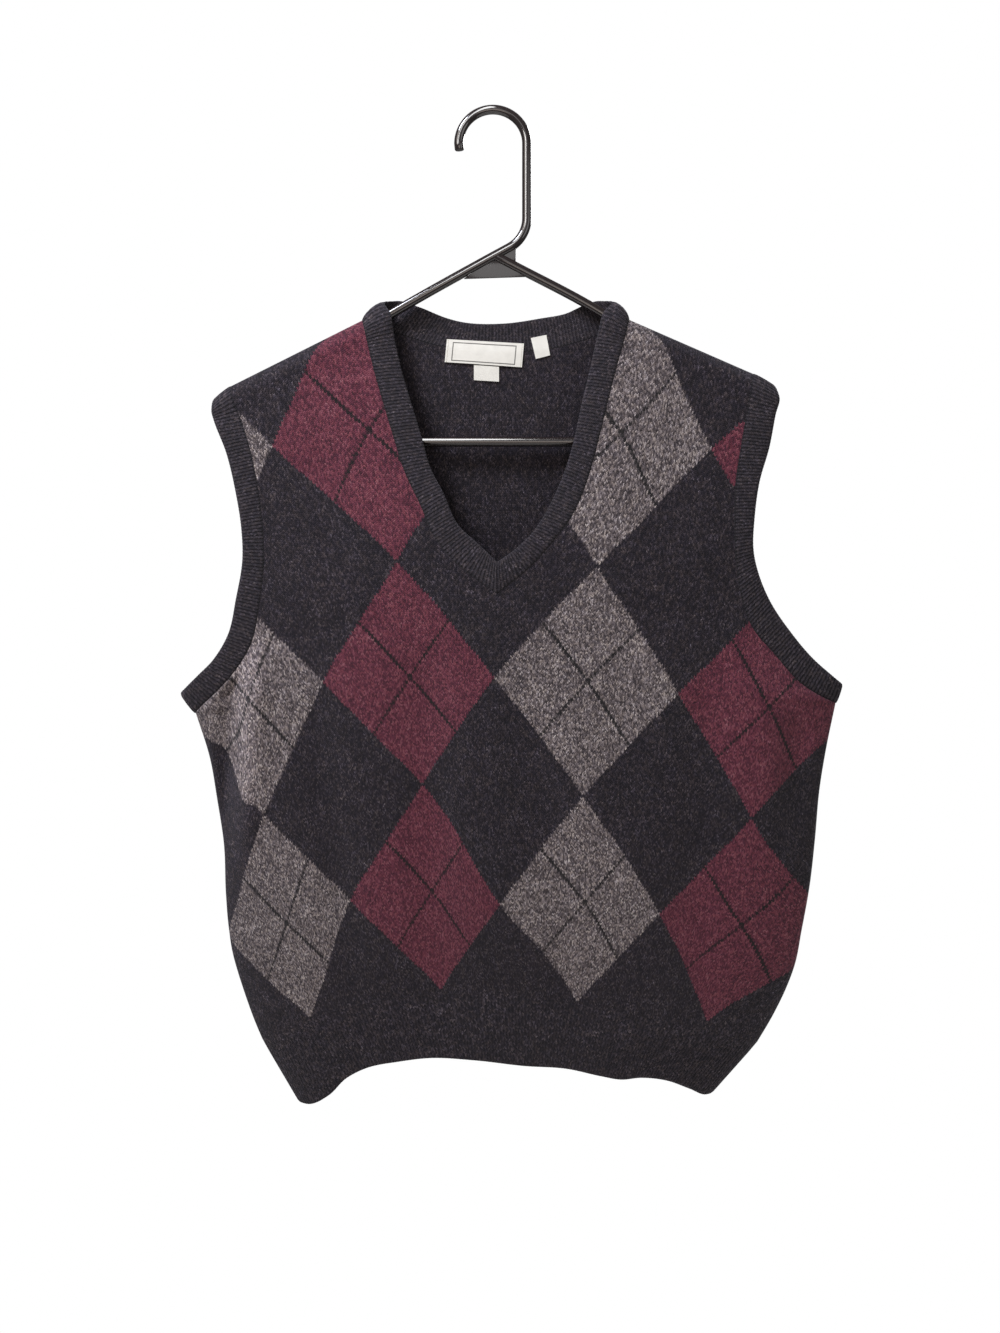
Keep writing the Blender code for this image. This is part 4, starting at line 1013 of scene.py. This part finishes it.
def rib_relief():
    """Raises a rib between the whole numbers of the field `rib`, as high as the field `raised` allows."""
    inputs = (("Rib height", "NodeSocketFloat"), ("Surface", "NodeSocketMaterial"))
    tree, given = node_group("rib_relief", inputs)
    rib = add(tree, "GeometryNodeInputNamedAttribute", {"Name": "rib"}, data_type="FLOAT")
    raised = add(tree, "GeometryNodeInputNamedAttribute", {"Name": "raised"}, data_type="FLOAT")
    turns = add(tree, MATH, (rib, 2 * math.pi), operation="MULTIPLY")
    wave = add(tree, MATH, (turns,), operation="COSINE")
    crown = add(tree, MATH, (wave, -0.5, 0.5), operation="MULTIPLY_ADD")
    lift = add(tree, MATH, (crown, raised), operation="MULTIPLY")
    lift = add(tree, MATH, (lift, given["Rib height"]), operation="MULTIPLY")
    offset = add(tree, VECTOR_MATH, (add(tree, "GeometryNodeInputNormal"), lift), operation="SCALE")
    moved = add(tree, "GeometryNodeSetPosition", {"Geometry": given["Geometry"], "Offset": offset})
    return finished(tree, moved, given["Surface"])


def seam_stitches():
    """Small rounded stitches, one after another along a line."""
    sizes = (("Stitch length", "NodeSocketFloat"), ("Stitch width", "NodeSocketFloat"))
    tree, given = node_group("seam_stitches", (*sizes, ("Surface", "NodeSocketMaterial")))
    length, width = given["Stitch length"], given["Stitch width"]
    line = add(tree, "GeometryNodeMeshToCurve", {"Mesh": given["Geometry"]})
    even = add(tree, "GeometryNodeResampleCurve", {"Curve": line, "Length": length}, mode="LENGTH")
    bead = add(tree, "GeometryNodeMeshUVSphere", {"Segments": 6, "Rings": 5, "Radius": 0.5})
    reach = add(tree, MATH, (length, STITCH_REACH), operation="MULTIPLY")
    size = add(tree, JOIN, (width, width, reach))
    tangent = add(tree, "GeometryNodeInputTangent")
    turn = add(tree, "FunctionNodeAlignEulerToVector", {"Vector": tangent}, axis="Z")
    beads = {"Points": even, "Instance": bead, "Rotation": turn, "Scale": size}
    return finished(tree, add(tree, "GeometryNodeInstanceOnPoints", beads), given["Surface"])


def run_nodes(piece, tree, values):
    """Runs a geometry tree on a piece and keeps its result as a plain mesh, with no modifier left."""
    modifier = piece.modifiers.new(tree.name, "NODES")
    modifier.node_group = tree
    for item in tree.interface.items_tree:
        if item.in_out == "INPUT" and item.name in values:
            modifier[item.identifier] = values[item.name]
    graph = bpy.context.evaluated_depsgraph_get()
    result = bpy.data.meshes.new_from_object(piece.evaluated_get(graph), depsgraph=graph)
    piece.modifiers.remove(modifier)
    old = piece.data
    piece.data = result
    bpy.data.meshes.remove(old)
    result.name = piece.name


def sewn_lines(name, lines, surface):
    """Lines of machine stitches through the given points, all in one piece."""
    points, edges = [], []
    for line in lines:
        edges += [(k, k + 1) for k in range(len(points), len(points) + len(line) - 1)]
        points += [tuple(np.array(point) * MM) for point in line]
    mesh = bpy.data.meshes.new(name)
    mesh.from_pydata(points, edges, [])
    sewn = placed(name, mesh)
    run_nodes(
        sewn,
        seam_stitches(),
        {"Stitch length": STITCH * MM, "Stitch width": THREAD * MM, "Surface": surface},
    )
    sewn.data.shade_smooth()
    return sewn


# --------------------------------------------------------------------------------------------- hanger


def arc(centre, radius, start, end, count):
    """Points on a circle in the x-z plane, by angle from +X."""
    angles = [start + (end - start) * k / count for k in range(count + 1)]
    return [(centre[0] + radius * math.cos(a), centre[1] + radius * math.sin(a)) for a in angles]


def smooth_line(points, spacing):
    """Points at about an even spacing along a smooth curve through the given ones."""
    track = Track(points, points)
    count = max(2, round(track.length / spacing))
    return [tuple(track.read(track.length * k / count)) for k in range(count + 1)]


def end_turn(end, before, side):
    """The centre and radius of the round end that touches an arm and the bar, and the slope of the arm."""
    slope = math.atan2(before[1] - end[1], abs(before[0] - end[0]))
    radius = (end[1] - BAR_Z) / (1 + math.cos(slope))
    return (end[0] - side * radius * math.sin(slope), BAR_Z + radius), radius, slope


def hanger_route():
    """The tube's middle line: hook, stem, left arm, bar, and the right arm back up to the left one."""
    hook = arc(HOOK_CENTRE, HOOK_RADIUS, math.pi, 0.0, HOOK_STEPS)
    tip = [(hook[0][0] + x, hook[0][1] + z) for x, z in HOOK_TIP]
    arm = ARM_LEFT
    fall = math.atan2(arm[0][1] - arm[1][1], arm[0][0] - arm[1][0])
    bend_centre = (hook[-1][0] - STEM_BEND_RADIUS, STEM_BEND_TOP)
    bend = arc(bend_centre, STEM_BEND_RADIUS, 0.0, fall - math.pi / 2, BEND_STEPS)
    centre, radius, slope = end_turn(arm[-1], arm[-2], -1)
    left_end = arc(centre, radius, math.pi / 2 + slope, 1.5 * math.pi, END_STEPS)
    centre, radius, slope = end_turn(ARM_RIGHT[0], ARM_RIGHT[1], 1)
    right_end = arc(centre, radius, -math.pi / 2, math.pi / 2 - slope, END_STEPS)
    left_arm, right_arm = smooth_line(arm, ARM_SPACING), smooth_line(ARM_RIGHT, ARM_SPACING)
    return tip + hook + bend + left_arm[1:-1] + left_end + right_end + right_arm[1:] + [KNUCKLE]


def drawn_mesh(name, points, cyclic, narrowed=(), **settings):
    """A curve in the x-z plane with the given settings, as a mesh that stands upright in its place.

    narrowed gives points of the curve and how much of its thickness is left there.
    """
    curve = bpy.data.curves.new(name, "CURVE")
    for setting, value in settings.items():
        setattr(curve, setting, value)
    spline = curve.splines.new("POLY")
    spline.use_cyclic_u = cyclic
    spline.points.add(len(points) - 1)
    for point, (x, z) in zip(spline.points, points):
        point.co = (x * MM, z * MM, 0.0, 1.0)
    for index, share in dict(narrowed).items():
        spline.points[index].radius = share
    drawn = placed(name, curve)
    drawn.rotation_euler = (math.pi / 2, 0.0, 0.0)
    bpy.context.view_layer.update()
    mesh = bpy.data.meshes.new_from_object(drawn.evaluated_get(bpy.context.evaluated_depsgraph_get()))
    mesh.transform(drawn.matrix_world)
    bpy.data.objects.remove(drawn)
    return mesh


def moulded_hanger(surface):
    """The tube, thinner at its two ends, and the two flat webs under the hook, as one moulding."""
    ends = {0: TIP_SHARE, -1: KNUCKLE_SHARE}
    tube = {"dimensions": "3D", "bevel_depth": TUBE * MM, "bevel_resolution": 7, "use_fill_caps": True}
    web = {"dimensions": "2D", "fill_mode": "BOTH", "extrude": (WEB / 2 - WEB_ROUND) * MM}
    web.update(bevel_depth=WEB_ROUND * MM, bevel_resolution=2)
    build = bmesh.new()
    build.from_mesh(drawn_mesh("tube", hanger_route(), False, narrowed=ends, **tube))
    build.from_mesh(drawn_mesh("lower_web", LOWER_WEB, True, **web))
    build.from_mesh(drawn_mesh("upper_web", UPPER_WEB, True, **web))
    bmesh.ops.remove_doubles(build, verts=build.verts, dist=0.00001)
    bmesh.ops.recalc_face_normals(build, faces=build.faces)
    mesh = bpy.data.meshes.new("hanger_moulded")
    build.to_mesh(mesh)
    build.free()
    mesh.shade_smooth()
    mesh.set_sharp_from_angle(angle=math.radians(40))
    mesh.materials.append(surface)
    return placed("hanger_moulded", mesh)


# --------------------------------------------------------------------------------------------- labels


def inside_of_back(targets):
    """Reads the y of the cloth's inner face behind a point (x, z) of the neck."""
    graph = bpy.context.evaluated_depsgraph_get()
    trees = [BVHTree.FromObject(target, graph) for target in targets]

    def read(x, z):
        hits = []
        for tree in trees:
            for nudge in (-1.0, 1.0):
                hit = tree.ray_cast(Vector((x, 0.0, z + nudge)) * MM, Vector((0, 1, 0)))[0]
                if hit is not None:
                    hits.append(hit.y / MM)
        return min(hits)

    return read


def on_label(corners, across, down):
    """The x and z of a place on a label, by its shares of the width and height from the top left corner."""
    top_left, top_right, bottom_right, bottom_left = (np.array(c) for c in corners)
    start = top_left + (bottom_left - top_left) * down
    end = top_right + (bottom_right - top_right) * down
    return start + (end - start) * across


def label(name, corners, behind, surface, wave=0.0):
    """A woven label that follows the cloth behind it, with its chart in millimetres from the top left."""
    top_left, top_right, _, bottom_left = (np.array(c) for c in corners)
    width, height = np.linalg.norm(top_right - top_left), np.linalg.norm(bottom_left - top_left)
    columns, rows = LABEL_CELLS
    points, chart = [], []
    for i in range(rows + 1):
        down = i / rows
        for j in range(columns + 1):
            across = j / columns
            x, z = on_label(corners, across, down)
            ripple = math.sin(math.pi * across) ** 2 * (1 + RIPPLE * math.sin(RIPPLE_TURNS * across))
            bow = wave * (TOP_BOW + (1 - TOP_BOW) * down) * ripple
            points.append((x, behind(x, z) - LABEL_GAP - LABEL - bow, z))
            chart.append((across * width, -down * height))
    points, chart = np.array(points), np.array(chart)
    faces = grid_faces(rows + 1, columns + 1)
    made, _ = knit_wall(name, points, faces, chart, (0, -1, 0), thickness=LABEL)
    made.data.materials.append(surface)
    return made


def label_stitches(name, corners, behind, surface):
    """The two short lines of stitches that hold a label at its ends."""
    width = np.linalg.norm(np.array(corners[1]) - np.array(corners[0]))
    lines = []
    for across in (SEWN_IN / width, 1 - SEWN_IN / width):
        places = [on_label(corners, across, down) for down in np.linspace(*SEWN_DOWN)]
        lines.append([(x, behind(x, z) - LABEL_GAP - LABEL, z) for x, z in places])
    return sewn_lines(name, lines, surface)


# --------------------------------------------------------------------------------------------- pieces


def middle_of_back(neck):
    """The distance along the neck band at which it crosses the centre line behind the neck, by halving."""
    low, high = neck.at[NECK_LEFT_CREST + 1], neck.at[NECK_RIGHT_CREST - 1]
    halvings = 40
    for _ in range(halvings):
        between = (low + high) / 2
        if neck.read(between)[0] < CENTRE_X:
            low = between
        else:
            high = between
    return (low + high) / 2


def build_vest():
    """Every piece by the node that it stands for, and the label's stitches."""
    neck = Band(NECK_BAND, closed=False)
    holes = {
        -1: Band(whole_armhole(ARMHOLE_LEFT), closed=True),
        1: Band(whole_armhole(ARMHOLE_RIGHT), closed=True, turn=-1),
    }
    crests = {-1: NECK_LEFT_CREST, 1: NECK_RIGHT_CREST}
    v_ends = {-1: 0, 1: len(NECK_BAND) - 1}
    underarm = len(ARMHOLE_LEFT) - 1
    last = 2 * underarm
    middle = middle_of_back(neck)
    front_halves, back_halves = [], []
    for side in (-1, 1):
        crest, hole = crests[side], holes[side]
        front_neck = (neck.at[crest], neck.at[crest + side], neck.at[v_ends[side]])
        front_hole = (hole.at[0], hole.at[1], hole.at[ARMHOLE_BESIDE_V], hole.at[underarm])
        top = (NECK_BAND[0][1] + SEAM_LAP, NECK_BAND[0][4])
        front_halves.append(panel_rows(neck, front_neck, hole, front_hole, top, side, -1, FRONT_ROWS))
        back_neck = (neck.at[crest], neck.at[crest - side], middle)
        back_hole = (hole.at[last], hole.at[last - 1], hole.at[last - 3], hole.at[underarm])
        seam = neck.seam(middle)
        top = (seam[2] + SEAM_LAP, seam[1])
        back_halves.append(panel_rows(neck, back_neck, hole, back_hole, top, side, 1, BACK_ROWS))

    front_cut = (front_halves, sum(FRONT_ROWS[:2]), FRONT_COLUMNS, FOLDS, argyle_chart)
    back_cut = (back_halves, sum(BACK_ROWS[:2]), BACK_COLUMNS, BACK_FOLDS, plain_chart)
    front, front_end = panel("front_argyle", *front_cut, (0, -0.2, 1))
    back, back_end = panel("back_plain", *back_cut, (0, 0.2, 1))
    front.data.materials.append(argyle_lambswool())
    back.data.materials.append(plain_lambswool())
    pieces = {
        "front": front,
        "back": back,
        "neck_band": ribbed_band("neck_ribbing", neck, (0, -1, 0)),
        "armhole_band_left": ribbed_band("armhole_ribbing_left", holes[-1], (0, 0, 1)),
        "armhole_band_right": ribbed_band("armhole_ribbing_right", holes[1], (0, 0, 1)),
        "hem_rib_front": hem_rib("hem_ribbing_front", front_end, HEM_FRONT, (-1, 0, 0)),
        "hem_rib_back": hem_rib("hem_ribbing_back", back_end, HEM_BACK, (-1, 0, 0)),
    }
    # The bands' rib gets painted shade in its furrows and at its seam, and a painted highlight on its crowns.
    ribbed = ribbed_lambswool("charcoal_lambswool_rib", 0.42, 0.12, 0.6)
    hem_ribbed = ribbed_lambswool("charcoal_lambswool_hem_rib", 0.28, 0.05, 0.0)
    relief = rib_relief()
    for node in ("neck_band", "armhole_band_left", "armhole_band_right", "hem_rib_front", "hem_rib_back"):
        height, surface = (HEM_RIB_HEIGHT, hem_ribbed) if node.startswith("hem") else (RIB_HEIGHT, ribbed)
        run_nodes(pieces[node], relief, {"Rib height": height * MM, "Surface": surface})

    behind = inside_of_back([back, pieces["neck_band"]])
    tape = woven_tape("cream_woven_label_tape", BORDER)
    bare = woven_tape("bare_woven_label_tape", None)
    pieces["neck_label"] = label("neck_label_tape", MAIN_LABEL, behind, tape, wave=LABEL_WAVE)
    sewn = label_stitches("neck_label_stitches", MAIN_LABEL, behind, sewing_thread())
    pieces["care_tag"] = label("care_tag_tape", CARE_TAG, behind, bare)
    pieces["size_tag"] = label("size_tag_tape", SIZE_TAG, behind, bare)
    pieces["hanger"] = moulded_hanger(black_polystyrene())
    return pieces, sewn


pieces, label_thread = build_vest()

for node, piece in pieces.items():
    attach(piece, "root")
    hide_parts(node)
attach(label_thread, "root")

# ---------------------------------------------------------------------------------------------- room


def area_light(name, place, target, size, power, colour="#ffffff"):
    """An oval lamp. size is its width and its height."""
    data = bpy.data.lights.new(name, "AREA")
    data.shape, data.size, data.size_y, data.energy = "ELLIPSE", size[0], size[1], power
    data.color = linear(colour)[:3]
    made = placed(name, data)
    made.location = place
    way = Vector(target) - Vector(place)
    made.rotation_euler = way.to_track_quat("-Z", "Y").to_euler()
    return made


ROOM_GLOW = 0.17  # the white room is dimmer as a light than it looks, so that the lamps model the cloth
world = bpy.data.worlds.new("white_room")
world.use_nodes = True
room = world.node_tree
seen = add(room, "ShaderNodeLightPath").outputs["Is Camera Ray"]
glow = add(room, MATH, (seen, 1 - ROOM_GLOW, ROOM_GLOW), operation="MULTIPLY_ADD")
fill(room.nodes["Background"], {"Color": (1.0, 1.0, 1.0, 1.0), "Strength": glow})
bpy.context.scene.world = world

FLOOR_RADIUS, FLOOR_DOWN = 1.25, 1.45  # metres
floor_mesh = bpy.data.meshes.new("floor")
disc = bmesh.new()
bmesh.ops.create_circle(disc, cap_ends=True, segments=96, radius=FLOOR_RADIUS)
disc.to_mesh(floor_mesh)
disc.free()
floor = placed("floor", floor_mesh)
floor.location = (0.0, 0.0, -FLOOR_DOWN)
floor_paint, _, floor_shader = new_material("pale_floor")
fill(floor_shader, {"Base Color": linear("#f4f2ee"), "Roughness": 0.8})
floor_mesh.materials.append(floor_paint)

chest, bar_middle, webs_middle = (0.0, 0.0, -0.45), (-0.02, 0.0, -0.26), (0.0, 0.0, -0.12)
area_light("window", (-0.95, -1.15, 0.5), chest, (1.2, 1.2), 11.7, "#fff7ee")
area_light("ceiling_lamp", (-0.75, -0.6, 0.78), chest, (0.45, 0.45), 22.5, "#eef2ff")
area_light("pale_wall", (0.0, -2.3, -0.5), chest, (1.2, 1.0), 6.0, "#fff0e4")
area_light("fill", (1.5, -1.2, -0.1), chest, (1.2, 1.2), 5.0)
area_light("behind", (1.2, 1.6, 0.6), chest, (1.0, 1.0), 48.0)
# Three lamps for the hanger alone: a tall strip draws the pale line along the bar and the arms, a small lamp
# draws the one down the stem, and a weak one shows in the flat webs.
hanger_lamps = (
    area_light("hanger_strip", (-0.13, -0.8, 0.7), bar_middle, (0.3, 1.15), 11.0),
    area_light("stem_lamp", (-0.72, -1.5, 0.35), chest, (0.3, 0.45), 6.5),
    area_light("web_lamp", (0.0, -1.5, 0.26), webs_middle, (0.5, 0.42), 0.65),
)
hanger_only = bpy.data.collections.new("hanger_only")
hanger_only.objects.link(pieces["hanger"])
for lamp in hanger_lamps:
    lamp.light_linking.receiver_collection = hanger_only
bpy.context.scene.view_settings.view_transform = "Standard"
